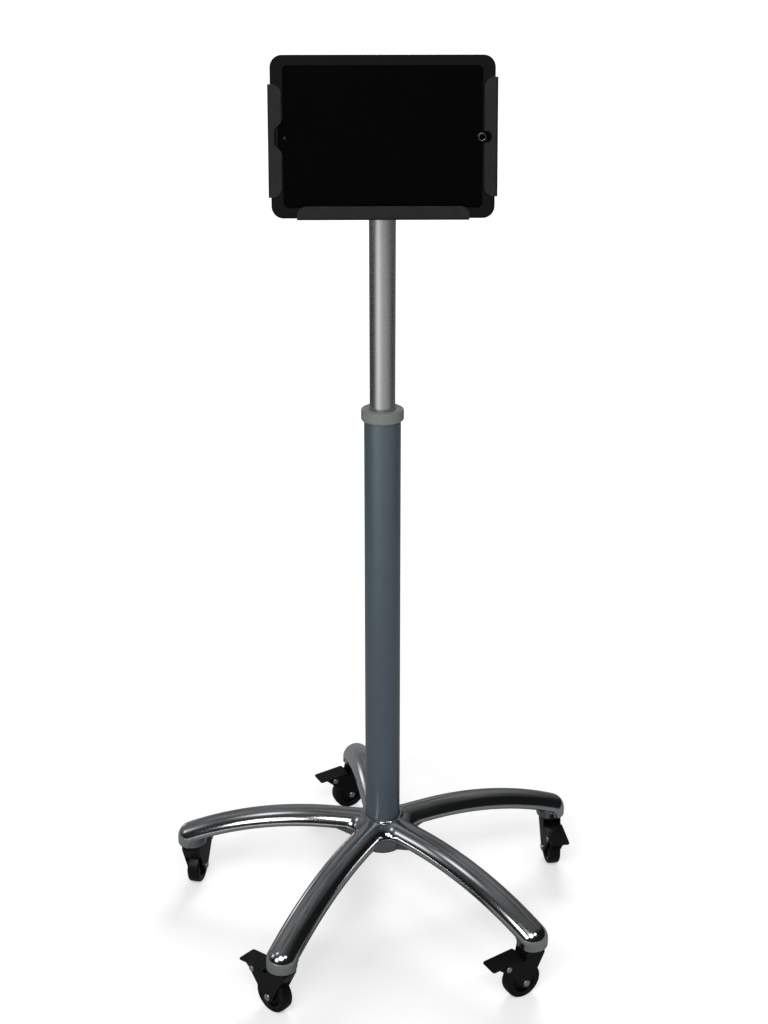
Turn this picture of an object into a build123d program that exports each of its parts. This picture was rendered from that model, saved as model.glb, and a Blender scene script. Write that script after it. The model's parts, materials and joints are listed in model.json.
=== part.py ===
from build123d import *
import math
import os

# Tablet floor stand. Millimetres, +Z up, the floor at z = 0 and the column's axis on the Z axis.
# The front, where the screen faces, is -Y.

# Star base
ARM_COUNT = 5
FIRST_ARM_DEG = 241.6
STEM_CIRCLE_R = 274.2
ARM_HALF_WIDTH = 21.0
ARM_WALL = 3.5
ARM_CREST_R = 68.5
ARM_CREST_Z = 148.5
ARM_TIP_DROP = 46.1
TIP_BOSS_R = 20.0
TIP_BOSS_BOTTOM = 72.4
HUB_WALL = 3.54
HUB_BOTTOM = 98.0
HUB_TOP = 148.9
HUB_FLOOR = 6.0
HUB_EDGE_ROUND = 1.5
HUB_FILLET = 12.0
HUB_WEB_SPAN = 66.0
HUB_WEB_THICKNESS = 5.0
HUB_WEB_STEP = 2.0
HUB_SKIRT = 5.0
CAVITY_START_R = 44.0
CAVITY_TIP_WALL = 4.0

# Column, post and collar
COLUMN_R = 23.46
COLUMN_WALL = 2.0
COLUMN_TOP = 718.6
COLLAR_OVERHANG = 3.74
COLLAR_HEIGHT = 15.1
COLLAR_EDGE_ROUND = 2.6
COLLAR_SPIGOT = 50.0
COLLAR_MOUTH_BEVEL = 0.6
POST_R = 16.38
POST_WALL = 1.8
POST_TOP = 1040.0
POST_LENGTH = 660.0
BUSH_LENGTH = 30.0

# Lockable gas spring inside the post
ROD_R = 5.0
ROD_ENGAGEMENT = 155.0
ROD_GROOVE_DEPTH = 1.0
ROD_END = 3.2
ROD_HOLE_R = 6.0
PISTON_HEIGHT = 15.0
TUBE_CLEARANCE = 0.58
TUBE_WALL = 1.5
TUBE_CAP = 6.0
SEAL_HEIGHT = 20.0
FOOT_HEIGHT = 8.0
WASHER_R = 14.0
WASHER_HEIGHT = 2.0
CLIP_R = 8.5
CLIP_HEIGHT = 1.6
CLIP_MOUTH = 6.0
VALVE_PIN_R = 3.0
VALVE_PIN_DEPTH = 5.0
VALVE_PIN_GAP = 0.1

# Head: socket, ears and tilt joint
SOCKET_WALL = 3.6
SOCKET_DEPTH = 34.0
SOCKET_ROOF = 6.0
SOCKET_EDGE_ROUND = 1.0
TILT_AXIS_HEIGHT = 20.85
REST_RECLINE_DEG = 11.0
EAR_THICKNESS = 6.0
EAR_R = 13.0
EAR_BASE = 32.0
EAR_FOOT = 20.0
EAR_FOOT_HEIGHT = 4.0
TONGUE_HALF = 7.9
TONGUE_R = 13.0
SIDE_WASHER = 1.0
TILT_BOLT_R = 4.0
TILT_BOLT_HEAD_R = 8.0
TILT_BOLT_HEAD = 4.0
TILT_BOLT_HEAD_ROUND = 1.5
TILT_THREAD = 10.5
TILT_NECK_HALF = 9.75
KNOB_R = 15.0
KNOB_LENGTH = 15.0
KNOB_NECK = 4.0
KNOB_BEVEL = 1.2
KNOB_LOBE_OFFSET = 1.2
KNOB_LOBES = 6
KNOB_LOBE_R = 3.5
GRUB_R = 2.5
GRUB_Z_ABOVE_RIM = 11.0
GRUB_SINK = 0.3
GRUB_DIRECTIONS = (60.0, 120.0)

# Height release lever
LEVER_THICKNESS = 3.0
LEVER_HALF_WIDTH = 6.0
LEVER_PIVOT_Y = 11.0
LEVER_PIVOT_R = 2.0
LEVER_LIFT = 4.2
LEVER_KNUCKLE_R = 2.5
LEVER_NOSE = 5.0
LEVER_REACH = 80.0
PADDLE_LENGTH = 30.0
PADDLE_WIDTH = 26.0
PADDLE_CORNER_R = 8.0

# Turning joint between head and tray, measured from the tilt axis towards the screen
FLANGE_FACE = 26.5
FLANGE_THICKNESS = 6.0
FLANGE_R = 19.0
FRICTION_DISC = 1.0
ROTOR_THICKNESS = 4.0
ROTOR_SIDE = 90.0
ROTOR_CORNER = 14.0
PIVOT_R = 5.0
PIVOT_HEAD_R = 9.0
PIVOT_HEAD = 1.6
TRAY_SCREW_PITCH = 75.0
TRAY_SCREW_R = 2.0
TRAY_SCREW_HEAD_R = 3.9
TRAY_SCREW_TIP_GAP = 0.5
FREE_HOLE_PITCH = 100.0
FREE_HOLE_R = 2.25

# Tray of bent sheet
SHEET = 2.0
SHEET_BEND_R = 3.0
SIDE_GAP = 1.0
LIP_GAP = 0.3
REST_GAP = 0.05
SIDE_LIP = 15.3
LEFT_LIP_TOP = 59.5
LEFT_LIP_BOTTOM = -68.5
RIGHT_LIP_TOP = 67.4
RIGHT_LIP_BOTTOM = -67.4
LIP_CORNER_R = 11.0
BOTTOM_LIP = 15.6
BOTTOM_LIP_HALF = 100.4
SIDE_RIM_SPAN = 33.0
TRAY_TOP_DROP = 16.35
TRAY_CORNER_R = 12.0
HOME_NOTCH_DEPTH = 8.2
HOME_NOTCH_INNER = 8.3
HOME_NOTCH_OUTER = 16.5
HOME_NOTCH_ROUND = 3.0
LENS_NOTCH_R = 7.0
LENS_NOTCH_MOUTH = 11.0
LENS_NOTCH_THROAT = 5.6
LENS_NOTCH_SHIFT = 2.0

# Tablet in its case
TABLET_WIDTH = 250.6
TABLET_HEIGHT = 174.1
TABLET_DEPTH = 7.5
TABLET_CORNER_R = 10.0
TABLET_WALL = 1.5
TABLET_GAP = 0.2
GLASS = 0.8
CASE_SIDE_WALL = 4.5
CASE_END_WALL = 5.1
CASE_CORNER_R = 14.0
CASE_EDGE_ROUND = 1.6
CASE_BACK_WALL = 2.2
CASE_FRONT_LIP = 2.4
WINDOW_SIDE = 9.8
WINDOW_END = 6.75
WINDOW_CORNER_R = 5.5
CASE_HOME_NOTCH = 5.7
CASE_HOME_INNER = 14.0
CASE_HOME_OUTER = 20.0
CASE_HOME_ROUND = 2.0
CASE_LENS_NOTCH_R = 6.5
CASE_LENS_SHIFT = 3.0
PANEL_SIDE = 21.3
PANEL_END = 9.05
PANEL_DEPTH = 1.6
BATTERY_SIDE = 35.3
BATTERY_END = 32.05
BATTERY_DEPTH = 3.4
HOME_BUTTON_R = 5.0
HOME_BUTTON_INSET = 11.1
HOME_BUTTON_DEPTH = 1.4
HOME_BUTTON_SINK = 0.1
HOME_BUTTON_GAP = 0.15
LENS_INSET = 10.1
LENS_RING_R = 4.7
LENS_RING_WIDTH = 1.1
LENS_RING_HEIGHT = 0.3

# Casters. u runs from the stem towards the trailing side, and the axle lies across it.
TRAIL_DEG = (137.4, 208.8, 278.4, 205.7, 77.1)
CASTER_NAMES = ("front_left", "front_right", "right", "back", "left")
WHEEL_R = 25.0
WHEEL_HALF_WIDTH = 8.3
TREAD_ROUND = 3.2
TYRE_THICKNESS = 6.0
RIM_WALL = 3.0
RIM_OVERLAP = 0.5
WEB_HALF = 2.5
WHEEL_HUB_R = 6.5
TRAIL = 15.1
AXLE_R = 3.0
AXLE_HEAD_R = 4.6
AXLE_HEAD = 1.9
FORK_TOP_GAP = 2.0
FORK_PLATE = 2.0
FORK_R = 16.0
FORK_FRONT = 12.0
FORK_FRONT_DROP = 7.5
FORK_REAR = 14.0
AXLE_LUG_R = 7.5
ARM_LUG_TOP = 60.0
STEM_R = 5.5
STEM_LENGTH = 20.0
STEM_FLANGE_R = 9.0
STEM_FLANGE = 1.6
KINGPIN_R = 4.0
KINGPIN_HEAD_R = 6.5
KINGPIN_HEAD = 1.6
RIVET_U = 42.6
RIVET_Z = 55.4
RIVET_R = 2.4
RIVET_HEAD_R = 4.0
RIVET_HEAD = 1.5
RIVET_LUG_R = 4.4
HEAD_ROUND = 0.9
PEDAL_TIP_U = 66.5
PEDAL_TIP_Z = 59.4
PEDAL_FRONT_U = 20.5
PEDAL_SLOPE_DEG = 5.9
PEDAL_SHEET = 1.6
PEDAL_OVERHANG = 0.1
PEDAL_CORNER_R = 3.0
PEDAL_WHEEL_GAP = 0.9
PEDAL_CHEEK_GAP = 0.4
PEDAL_PRESS_DEG = 14.0
SHOE_R = 3.0
PEDAL_FLANGE_FRONT = 6.0
PEDAL_FLANGE_REAR = 8.0

# Clearances, on the radius or per side
FIXED_FIT = 0.05
RUNNING_FIT = 0.07
FACE_GAP = 0.3

# How far a cutting solid runs past the face it opens
CUT = 5.0

# Heights and radii that follow from the sizes above
ARM_SPAN = STEM_CIRCLE_R - ARM_CREST_R
ARM_SPINE_R = (ARM_SPAN**2 + ARM_TIP_DROP**2) / (2 * ARM_TIP_DROP)
BEND_CENTRE_Z = ARM_CREST_Z - ARM_HALF_WIDTH - ARM_SPINE_R
TIP_SPINE_Z = ARM_CREST_Z - ARM_HALF_WIDTH - ARM_TIP_DROP
HUB_R = COLUMN_R + HUB_WALL
COLUMN_BORE = COLUMN_R - COLUMN_WALL
COLUMN_BOTTOM = HUB_BOTTOM + HUB_FLOOR
COLLAR_R = COLUMN_R + COLLAR_OVERHANG
POST_BORE = POST_R - POST_WALL
POST_BOTTOM = POST_TOP - POST_LENGTH
ROD_TOP = POST_BOTTOM + ROD_ENGAGEMENT
TUBE_R = POST_BORE - TUBE_CLEARANCE
TUBE_BORE = TUBE_R - TUBE_WALL
TUBE_TOP = POST_TOP - FACE_GAP
TUBE_BOTTOM = POST_BOTTOM + FACE_GAP
SOCKET_R = POST_R + SOCKET_WALL
SOCKET_TOP = POST_TOP + SOCKET_ROOF
SOCKET_RIM = POST_TOP - SOCKET_DEPTH
TILT_AXIS_Z = SOCKET_TOP + TILT_AXIS_HEIGHT
EAR_INNER = TONGUE_HALF + SIDE_WASHER + FIXED_FIT
EAR_OUTER = EAR_INNER + EAR_THICKNESS
LEVER_Z = SOCKET_TOP + LEVER_LIFT + LEVER_THICKNESS / 2

# Layers of the holder, measured from the tilt axis towards the screen
CASE_WIDTH = TABLET_WIDTH + 2 * (TABLET_GAP + CASE_SIDE_WALL)
CASE_HEIGHT = TABLET_HEIGHT + 2 * (TABLET_GAP + CASE_END_WALL)
ROTOR_BACK = FLANGE_FACE + FRICTION_DISC
SHEET_BACK = ROTOR_BACK + ROTOR_THICKNESS
SHEET_FRONT = SHEET_BACK + SHEET
TABLET_BACK = SHEET_FRONT + CASE_BACK_WALL + TABLET_GAP
TABLET_FRONT = TABLET_BACK + TABLET_DEPTH
GLASS_BACK = TABLET_FRONT - GLASS
CASE_FRONT = TABLET_FRONT + TABLET_GAP + CASE_FRONT_LIP
LIP_BACK = CASE_FRONT + LIP_GAP
LIP_FRONT = LIP_BACK + SHEET
FLANGE_X = CASE_WIDTH / 2 + SIDE_GAP + SHEET
FLANGE_BOTTOM = CASE_HEIGHT / 2 + REST_GAP + SHEET
TRAY_CORE_HALF = FLANGE_X - SIDE_RIM_SPAN
TRAY_CORE_TOP = CASE_HEIGHT / 2 - TRAY_TOP_DROP
HOME_BUTTON_X = HOME_BUTTON_INSET - TABLET_WIDTH / 2
LENS_X = TABLET_WIDTH / 2 - LENS_INSET

# Half-widths and heights inside one caster
CORE_R = WHEEL_R - TYRE_THICKNESS
PEDAL_CHEEK_INNER = WHEEL_HALF_WIDTH + PEDAL_WHEEL_GAP
PEDAL_CHEEK_OUTER = PEDAL_CHEEK_INNER + PEDAL_SHEET
CHEEK_INNER = PEDAL_CHEEK_OUTER + PEDAL_CHEEK_GAP
CHEEK_OUTER = CHEEK_INNER + FORK_PLATE
PEDAL_HALF = CHEEK_OUTER + PEDAL_OVERHANG
AXLE_HALF = CHEEK_OUTER + AXLE_HEAD
RIVET_HALF = CHEEK_OUTER + RIVET_HEAD
SHOE_REACH = math.hypot(RIVET_U - TRAIL, RIVET_Z - WHEEL_R) - WHEEL_R - SHOE_R - FACE_GAP
FORK_TOP = TIP_BOSS_BOTTOM - FORK_TOP_GAP
FORK_UNDER = FORK_TOP - FORK_PLATE

BOTTOM = (Align.CENTER, Align.CENTER, Align.MIN)


def rod_z(radius, low, high):
    """A round bar on the Z axis between two heights."""
    return Pos(0, 0, low) * Cylinder(radius, high - low, align=BOTTOM)


def ring_z(outer, inner, low, high):
    """A tube on the Z axis."""
    return rod_z(outer, low, high) - rod_z(inner, low - CUT, high + CUT)


def rod_x(radius, low, high, y, z):
    """A round bar along X."""
    return Pos(low, y, z) * Rot(0, 90, 0) * Cylinder(radius, high - low, align=BOTTOM)


def rod_y(radius, low, high, x, z):
    """A round bar along Y."""
    return Pos(x, low, z) * Rot(-90, 0, 0) * Cylinder(radius, high - low, align=BOTTOM)


def slab_y(outline, low, high):
    """An XZ outline made solid between two places along Y."""
    return extrude(Plane.XZ.offset(-low) * outline, high - low, dir=(0, 1, 0))


def slab_x(outline, low, high):
    """A YZ outline made solid between two places along X."""
    return extrude(Plane.YZ.offset(low) * outline, high - low, dir=(1, 0, 0))


def slab_z(outline, low, high):
    """An XY outline made solid between two heights."""
    return extrude(Plane.XY.offset(low) * outline, high - low, dir=(0, 0, 1))


def outline(*points):
    """A closed straight-sided outline."""
    return Polygon(*points, align=None)


def hull(circles, points):
    """The convex outline around circles, given as (x, y, r), and points."""
    edges = [Edge.make_circle(r, Plane((x, y, 0))) for x, y, r in circles]
    edges += [Edge.make_line(a, b) for a, b in zip(points, points[1:])]
    return make_hull(edges)


def mirrored_pair(piece, plane):
    """A piece and its mirror image, joined."""
    return piece + mirror(piece, about=plane)


def arm_deg(index):
    return FIRST_ARM_DEG + index * 360.0 / ARM_COUNT


# Star base


def arm_sweep(half_width, start_r, end_r, drop):
    """A half-round bar bent down along the arm. drop extends its flat side downwards."""
    axis = Axis((ARM_CREST_R, 0, BEND_CENTRE_Z), (0, 1, 0))
    start = math.degrees(math.asin((start_r - ARM_CREST_R) / ARM_SPINE_R))
    end = math.degrees(math.asin((end_r - ARM_CREST_R) / ARM_SPINE_R))
    plane = Plane((ARM_CREST_R, 0, BEND_CENTRE_Z + ARM_SPINE_R), x_dir=(0, 1, 0), z_dir=(1, 0, 0))
    left = (-half_width, 0)
    right = (half_width, 0)
    top = ThreePointArc(left, (0, half_width), right)
    rest = Polyline(right, (half_width, -drop), (-half_width, -drop), left) if drop else Line(right, left)
    section = (plane * make_face([top.edge()] + list(rest.edges()))).rotate(axis, start)
    return revolve(section, axis, end - start)


def arm_tip():
    """The domed end over the caster stem, with its skirt down the outer half."""
    flank = Line((0, TIP_BOSS_BOTTOM), (ARM_HALF_WIDTH, TIP_BOSS_BOTTOM))
    side = Line((ARM_HALF_WIDTH, TIP_BOSS_BOTTOM), (ARM_HALF_WIDTH, TIP_SPINE_Z))
    mid = ARM_HALF_WIDTH * math.sqrt(0.5)
    dome = ThreePointArc((ARM_HALF_WIDTH, TIP_SPINE_Z), (mid, TIP_SPINE_Z + mid), (0, TIP_SPINE_Z + ARM_HALF_WIDTH))
    back = Line((0, TIP_SPINE_Z + ARM_HALF_WIDTH), (0, TIP_BOSS_BOTTOM))
    profile = Plane.XZ * make_face([x.edge() for x in (flank, side, dome, back)])
    bullet = revolve(profile, Axis.Z, 180).rotate(Axis.Z, -90)
    boss = rod_z(TIP_BOSS_R, TIP_BOSS_BOTTOM, TIP_SPINE_Z)
    return Pos(STEM_CIRCLE_R, 0, 0) * (bullet + boss)


def hub_plan():
    """The outline of the hub where the arms run together, with rounded inner corners."""
    reach = 2 * HUB_R + HUB_FILLET
    bar = Pos(reach / 2, 0) * Rectangle(reach, 2 * ARM_HALF_WIDTH)
    plan = Circle(HUB_R)
    for index in range(ARM_COUNT):
        plan += Rot(0, 0, arm_deg(index)) * bar
    corners = [v for v in plan.vertices() if math.hypot(v.X, v.Y) < reach - FACE_GAP]
    return fillet(corners, HUB_FILLET)


def star_base():
    spine_low = BEND_CENTRE_Z + math.sqrt(ARM_SPINE_R**2 - ARM_CREST_R**2)
    web_end = HUB_R + HUB_WEB_SPAN
    web_top = spine_low + ARM_HALF_WIDTH - ARM_WALL / 2
    web = slab_y(
        outline(
            (HUB_R - HUB_WEB_STEP, HUB_BOTTOM + HUB_WEB_STEP),
            (web_end, BEND_CENTRE_Z + ARM_SPINE_R),
            (web_end, web_top),
            (HUB_R - HUB_WEB_STEP, web_top),
        ),
        -HUB_WEB_THICKNESS / 2,
        HUB_WEB_THICKNESS / 2,
    )
    cavity_end = STEM_CIRCLE_R - TIP_BOSS_R - CAVITY_TIP_WALL
    arm = arm_sweep(ARM_HALF_WIDTH, 0, STEM_CIRCLE_R, 0)
    arm += arm_tip()
    arm -= arm_sweep(ARM_HALF_WIDTH - ARM_WALL, CAVITY_START_R, cavity_end, CUT)
    arm += web
    base = slab_z(hub_plan(), spine_low, spine_low + HUB_SKIRT)
    hub = fillet(rod_z(HUB_R, HUB_BOTTOM, HUB_TOP).edges(), HUB_EDGE_ROUND)
    base += hub
    for index in range(ARM_COUNT):
        base += Rot(0, 0, arm_deg(index)) * arm
    base -= rod_z(COLUMN_R + FIXED_FIT, COLUMN_BOTTOM, HUB_TOP + CUT)
    base -= rod_z(ROD_HOLE_R, HUB_BOTTOM - CUT, COLUMN_BOTTOM + CUT)
    socket_roof = TIP_BOSS_BOTTOM + STEM_LENGTH + FACE_GAP
    socket = rod_z(STEM_R + FIXED_FIT, TIP_BOSS_BOTTOM - CUT, socket_roof)
    for index in range(ARM_COUNT):
        base -= Rot(0, 0, arm_deg(index)) * Pos(STEM_CIRCLE_R, 0, 0) * socket
    return base


# Column and gas spring


def outer_column():
    return ring_z(COLUMN_R, COLUMN_BORE, COLUMN_BOTTOM, COLUMN_TOP)


def column_foot():
    return ring_z(COLUMN_BORE - FIXED_FIT, ROD_R + FIXED_FIT, COLUMN_BOTTOM, COLUMN_BOTTOM + FOOT_HEIGHT)


def column_collar():
    flange = rod_z(COLLAR_R, COLUMN_TOP, COLUMN_TOP + COLLAR_HEIGHT)
    flange = fillet(flange.edges().filter_by(GeomType.CIRCLE), COLLAR_EDGE_ROUND)
    collar = flange + rod_z(COLUMN_BORE - FIXED_FIT, COLUMN_TOP - COLLAR_SPIGOT, COLUMN_TOP + CUT)
    bore = POST_R + RUNNING_FIT
    collar -= rod_z(bore, COLUMN_TOP - COLLAR_SPIGOT - CUT, COLUMN_TOP + COLLAR_HEIGHT + CUT)
    mouth = collar.edges().filter_by(GeomType.CIRCLE).group_by(Axis.Z)[-1].sort_by(SortBy.RADIUS)[0]
    return chamfer(mouth, COLLAR_MOUTH_BEVEL)


def rod_washer():
    return ring_z(WASHER_R, ROD_R + FIXED_FIT, HUB_BOTTOM - WASHER_HEIGHT, HUB_BOTTOM)


def groove_top():
    return HUB_BOTTOM - WASHER_HEIGHT


def rod_clip():
    inner = ROD_R - ROD_GROOVE_DEPTH + FIXED_FIT
    clip = ring_z(CLIP_R, inner, groove_top() - CLIP_HEIGHT, groove_top())
    return clip - Pos(0, CLIP_R, groove_top()) * Box(CLIP_MOUTH, 2 * CLIP_R, 2 * CUT)


def gas_rod():
    groove_bottom = groove_top() - CLIP_HEIGHT - FIXED_FIT
    groove = ring_z(ROD_R + CUT, ROD_R - ROD_GROOVE_DEPTH, groove_bottom, groove_top())
    return rod_z(ROD_R, groove_bottom - ROD_END, ROD_TOP) - groove


def gas_piston():
    return ring_z(TUBE_BORE - RUNNING_FIT, ROD_R + FIXED_FIT, ROD_TOP - PISTON_HEIGHT, ROD_TOP)


def gas_tube():
    tube = rod_z(TUBE_R, TUBE_BOTTOM, TUBE_TOP) - rod_z(TUBE_BORE, TUBE_BOTTOM - CUT, TUBE_TOP - TUBE_CAP)
    return tube - rod_z(VALVE_PIN_R + RUNNING_FIT, TUBE_TOP - TUBE_CAP - CUT, TUBE_TOP + CUT)


def gas_seal():
    return ring_z(TUBE_BORE - FIXED_FIT, ROD_R + RUNNING_FIT, TUBE_BOTTOM, TUBE_BOTTOM + SEAL_HEIGHT)


def release_pin():
    top = LEVER_Z - LEVER_THICKNESS / 2 - VALVE_PIN_GAP
    shank = rod_z(VALVE_PIN_R, TUBE_TOP - TUBE_CAP - VALVE_PIN_DEPTH, top - VALVE_PIN_R)
    return shank + Pos(0, 0, top - VALVE_PIN_R) * Sphere(VALVE_PIN_R)


def post():
    return ring_z(POST_R, POST_BORE, POST_BOTTOM, POST_TOP)


def guide_bush():
    return ring_z(COLUMN_BORE - RUNNING_FIT, POST_R + FIXED_FIT, POST_BOTTOM, POST_BOTTOM + BUSH_LENGTH)


# Head


def head_socket():
    body = fillet(rod_z(SOCKET_R, SOCKET_RIM, SOCKET_TOP).edges(), SOCKET_EDGE_ROUND)
    body -= rod_z(POST_R + FIXED_FIT, SOCKET_RIM - CUT, POST_TOP)
    half = EAR_BASE / 2
    side = hull([(0, TILT_AXIS_Z, EAR_R)], [(-half, SOCKET_TOP), (half, SOCKET_TOP)])
    ear = slab_x(side, EAR_INNER, EAR_OUTER)
    foot = Pos((EAR_INNER + EAR_OUTER) / 2, 0, SOCKET_TOP) * Box(EAR_THICKNESS, EAR_FOOT, EAR_FOOT_HEIGHT)
    body += mirrored_pair(ear + foot, Plane.YZ)
    body -= rod_z(VALVE_PIN_R + FACE_GAP, POST_TOP - CUT, SOCKET_TOP + CUT)
    body -= rod_x(TILT_BOLT_R + FIXED_FIT, -EAR_OUTER - CUT, EAR_OUTER + CUT, 0, TILT_AXIS_Z)
    body -= rod_x(LEVER_PIVOT_R + FIXED_FIT, -EAR_OUTER - CUT, EAR_OUTER + CUT, LEVER_PIVOT_Y, LEVER_Z)
    hole = rod_x(GRUB_R + FIXED_FIT, POST_BORE, SOCKET_R + CUT, 0, SOCKET_RIM + GRUB_Z_ABOVE_RIM)
    for angle in GRUB_DIRECTIONS:
        body -= Rot(0, 0, angle) * hole
    return body


def socket_screws():
    screw = rod_x(GRUB_R, POST_R + FIXED_FIT, SOCKET_R - GRUB_SINK, 0, SOCKET_RIM + GRUB_Z_ABOVE_RIM)
    return [Rot(0, 0, angle) * screw for angle in GRUB_DIRECTIONS]


def tilt_bolt():
    shank = rod_x(TILT_BOLT_R, -EAR_OUTER - TILT_BOLT_HEAD / 2, EAR_OUTER + TILT_THREAD, 0, TILT_AXIS_Z)
    head = rod_x(TILT_BOLT_HEAD_R, -EAR_OUTER - TILT_BOLT_HEAD, -EAR_OUTER, 0, TILT_AXIS_Z)
    outer = head.edges().filter_by(GeomType.CIRCLE).sort_by(Axis.X)[0]
    return shank + fillet(outer, TILT_BOLT_HEAD_ROUND)


def tilt_washers():
    inner = TILT_BOLT_R + RUNNING_FIT
    washer = rod_x(TONGUE_R - 1, TONGUE_HALF, TONGUE_HALF + SIDE_WASHER, 0, TILT_AXIS_Z)
    washer -= rod_x(inner, TONGUE_HALF - CUT, EAR_INNER + CUT, 0, TILT_AXIS_Z)
    return [washer, mirror(washer, about=Plane.YZ)]


def tilt_knob():
    plan = Circle(KNOB_R)
    for index in range(KNOB_LOBES):
        dip = Pos(KNOB_R + KNOB_LOBE_OFFSET, 0) * Circle(KNOB_LOBE_R)
        plan -= Rot(0, 0, index * 360.0 / KNOB_LOBES) * dip
    grip = slab_z(plan, KNOB_NECK, KNOB_LENGTH)
    grip = chamfer(grip.faces().sort_by(Axis.Z)[-1].edges(), KNOB_BEVEL)
    knob = grip + rod_z(TILT_BOLT_HEAD_R, 0, KNOB_LENGTH - KNOB_BEVEL)
    knob -= rod_z(TILT_BOLT_R + RUNNING_FIT, -CUT, TILT_THREAD + FACE_GAP)
    return Pos(EAR_OUTER + FACE_GAP, 0, TILT_AXIS_Z) * Rot(0, 90, 0) * knob


def lever_pin():
    return rod_x(LEVER_PIVOT_R, -EAR_OUTER, EAR_OUTER, LEVER_PIVOT_Y, LEVER_Z)


def release_lever():
    length = LEVER_NOSE + LEVER_REACH
    bar = Pos(0, length / 2 - LEVER_NOSE) * Rectangle(2 * LEVER_HALF_WIDTH, length)
    paddle = RectangleRounded(PADDLE_WIDTH, PADDLE_LENGTH, PADDLE_CORNER_R)
    bar += Pos(0, LEVER_REACH - PADDLE_LENGTH / 2) * paddle
    low = LEVER_Z - LEVER_THICKNESS / 2
    lever = slab_z(bar, low, low + LEVER_THICKNESS)
    lever += rod_x(LEVER_KNUCKLE_R, -LEVER_HALF_WIDTH, LEVER_HALF_WIDTH, LEVER_PIVOT_Y, LEVER_Z)
    return lever - rod_x(LEVER_PIVOT_R + RUNNING_FIT, -PADDLE_WIDTH, PADDLE_WIDTH, LEVER_PIVOT_Y, LEVER_Z)


def reclined(piece):
    """Puts a piece drawn from the tilt axis, with +Z towards the screen, at the resting recline."""
    lean = math.radians(REST_RECLINE_DEG)
    plane = Plane((0, 0, TILT_AXIS_Z), x_dir=(1, 0, 0), z_dir=(0, -math.cos(lean), math.sin(lean)))
    return plane.location * piece


def tilt_knuckle():
    tongue = rod_x(TONGUE_R, -TONGUE_HALF, TONGUE_HALF, 0, 0)
    neck = Box(2 * TONGUE_HALF, 2 * TILT_NECK_HALF, FLANGE_FACE - FLANGE_THICKNESS / 2, align=BOTTOM)
    flange = rod_z(FLANGE_R, FLANGE_FACE - FLANGE_THICKNESS, FLANGE_FACE)
    body = tongue + neck + flange
    body -= rod_x(TILT_BOLT_R + RUNNING_FIT, -FLANGE_R, FLANGE_R, 0, 0)
    body -= rod_z(PIVOT_R + FIXED_FIT, FLANGE_FACE - FLANGE_THICKNESS, FLANGE_FACE + CUT)
    return reclined(body)


def friction_disc():
    return reclined(ring_z(FLANGE_R, PIVOT_R + RUNNING_FIT, FLANGE_FACE, ROTOR_BACK))


def pivot_bolt():
    shank = rod_z(PIVOT_R, FLANGE_FACE - FLANGE_THICKNESS, SHEET_BACK + FIXED_FIT)
    head = rod_z(PIVOT_HEAD_R, SHEET_BACK + FIXED_FIT, SHEET_BACK + FIXED_FIT + PIVOT_HEAD)
    return reclined(shank + head)


def grid(pitch):
    half = pitch / 2
    return [(x, y) for x in (-half, half) for y in (-half, half)]


def rotor_plate():
    plan = chamfer(Rectangle(ROTOR_SIDE, ROTOR_SIDE).vertices(), ROTOR_CORNER)
    plan -= Circle(PIVOT_R + RUNNING_FIT)
    for x, y in grid(TRAY_SCREW_PITCH):
        plan -= Pos(x, y) * Circle(TRAY_SCREW_R + FIXED_FIT)
    return reclined(slab_z(plan, ROTOR_BACK, SHEET_BACK))


def screw_cone(radius, clearance):
    """A countersunk head with its flat just under the sheet's front."""
    head = TRAY_SCREW_HEAD_R + clearance
    return Pos(0, 0, SHEET_FRONT - head + radius) * Cone(radius, head, head - radius, align=BOTTOM)


def tray_screws():
    shank = rod_z(TRAY_SCREW_R, ROTOR_BACK, SHEET_FRONT - TRAY_SCREW_TIP_GAP)
    screw = shank + Pos(0, 0, -FIXED_FIT) * screw_cone(TRAY_SCREW_R, 0)
    return [reclined(Pos(x, y, 0) * screw) for x, y in grid(TRAY_SCREW_PITCH)]


# Tray


def bent_edge(outer, lip, root):
    """Section of a folded rim: back sheet from root, upright flange out at outer, and lip."""
    points = (
        (outer, SHEET_BACK),
        (outer, LIP_FRONT),
        (outer - lip, LIP_FRONT),
        (outer - lip, LIP_BACK),
        (outer - SHEET, LIP_BACK),
        (outer - SHEET, SHEET_FRONT),
        (root, SHEET_FRONT),
        (root, SHEET_BACK),
    )
    section = outline(*points)
    section = fillet(section.vertices().group_by(Axis.X)[-1], SHEET_BEND_R)
    inner_corners = [(outer - SHEET, SHEET_FRONT), (outer - SHEET, LIP_BACK)]
    inside = [section.vertices().sort_by_distance(corner)[0] for corner in inner_corners]
    return fillet(inside, SHEET_BEND_R - SHEET)


def lip_slot():
    """The layer between the lips' back and in front of them, which cuts through lips work in."""
    return (LIP_BACK - FIXED_FIT, LIP_FRONT + CUT)


def lip_corners(low, high, inner, outer):
    """Everything outside a lip's rounded inner corners, to cut the lip with."""
    block = Pos((inner + outer) / 2, (low + high) / 2) * Rectangle(outer - inner, high - low)
    corners = block.vertices().group_by(Axis.X)[0]
    return block - fillet(corners, LIP_CORNER_R)


def rounded_notch(depth, inner_half, outer_half, radius):
    """A notch from x = 0 towards -x, narrower at its floor, with every corner rounded."""
    notch = outline((-depth, -inner_half), (-depth, inner_half), (0, outer_half), (0, -outer_half))
    floor = notch.vertices().group_by(Axis.X)[0]
    return fillet(floor, radius) + Pos(CUT / 2, 0) * Rectangle(CUT, 2 * outer_half)


def lens_notch():
    """A round notch with a wider mouth towards -x."""
    left = -LENS_NOTCH_R
    low = (0, -LENS_NOTCH_THROAT)
    high = (0, LENS_NOTCH_THROAT)
    return Circle(LENS_NOTCH_R) + outline((left, -LENS_NOTCH_MOUTH), low, high, (left, LENS_NOTCH_MOUTH))


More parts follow.
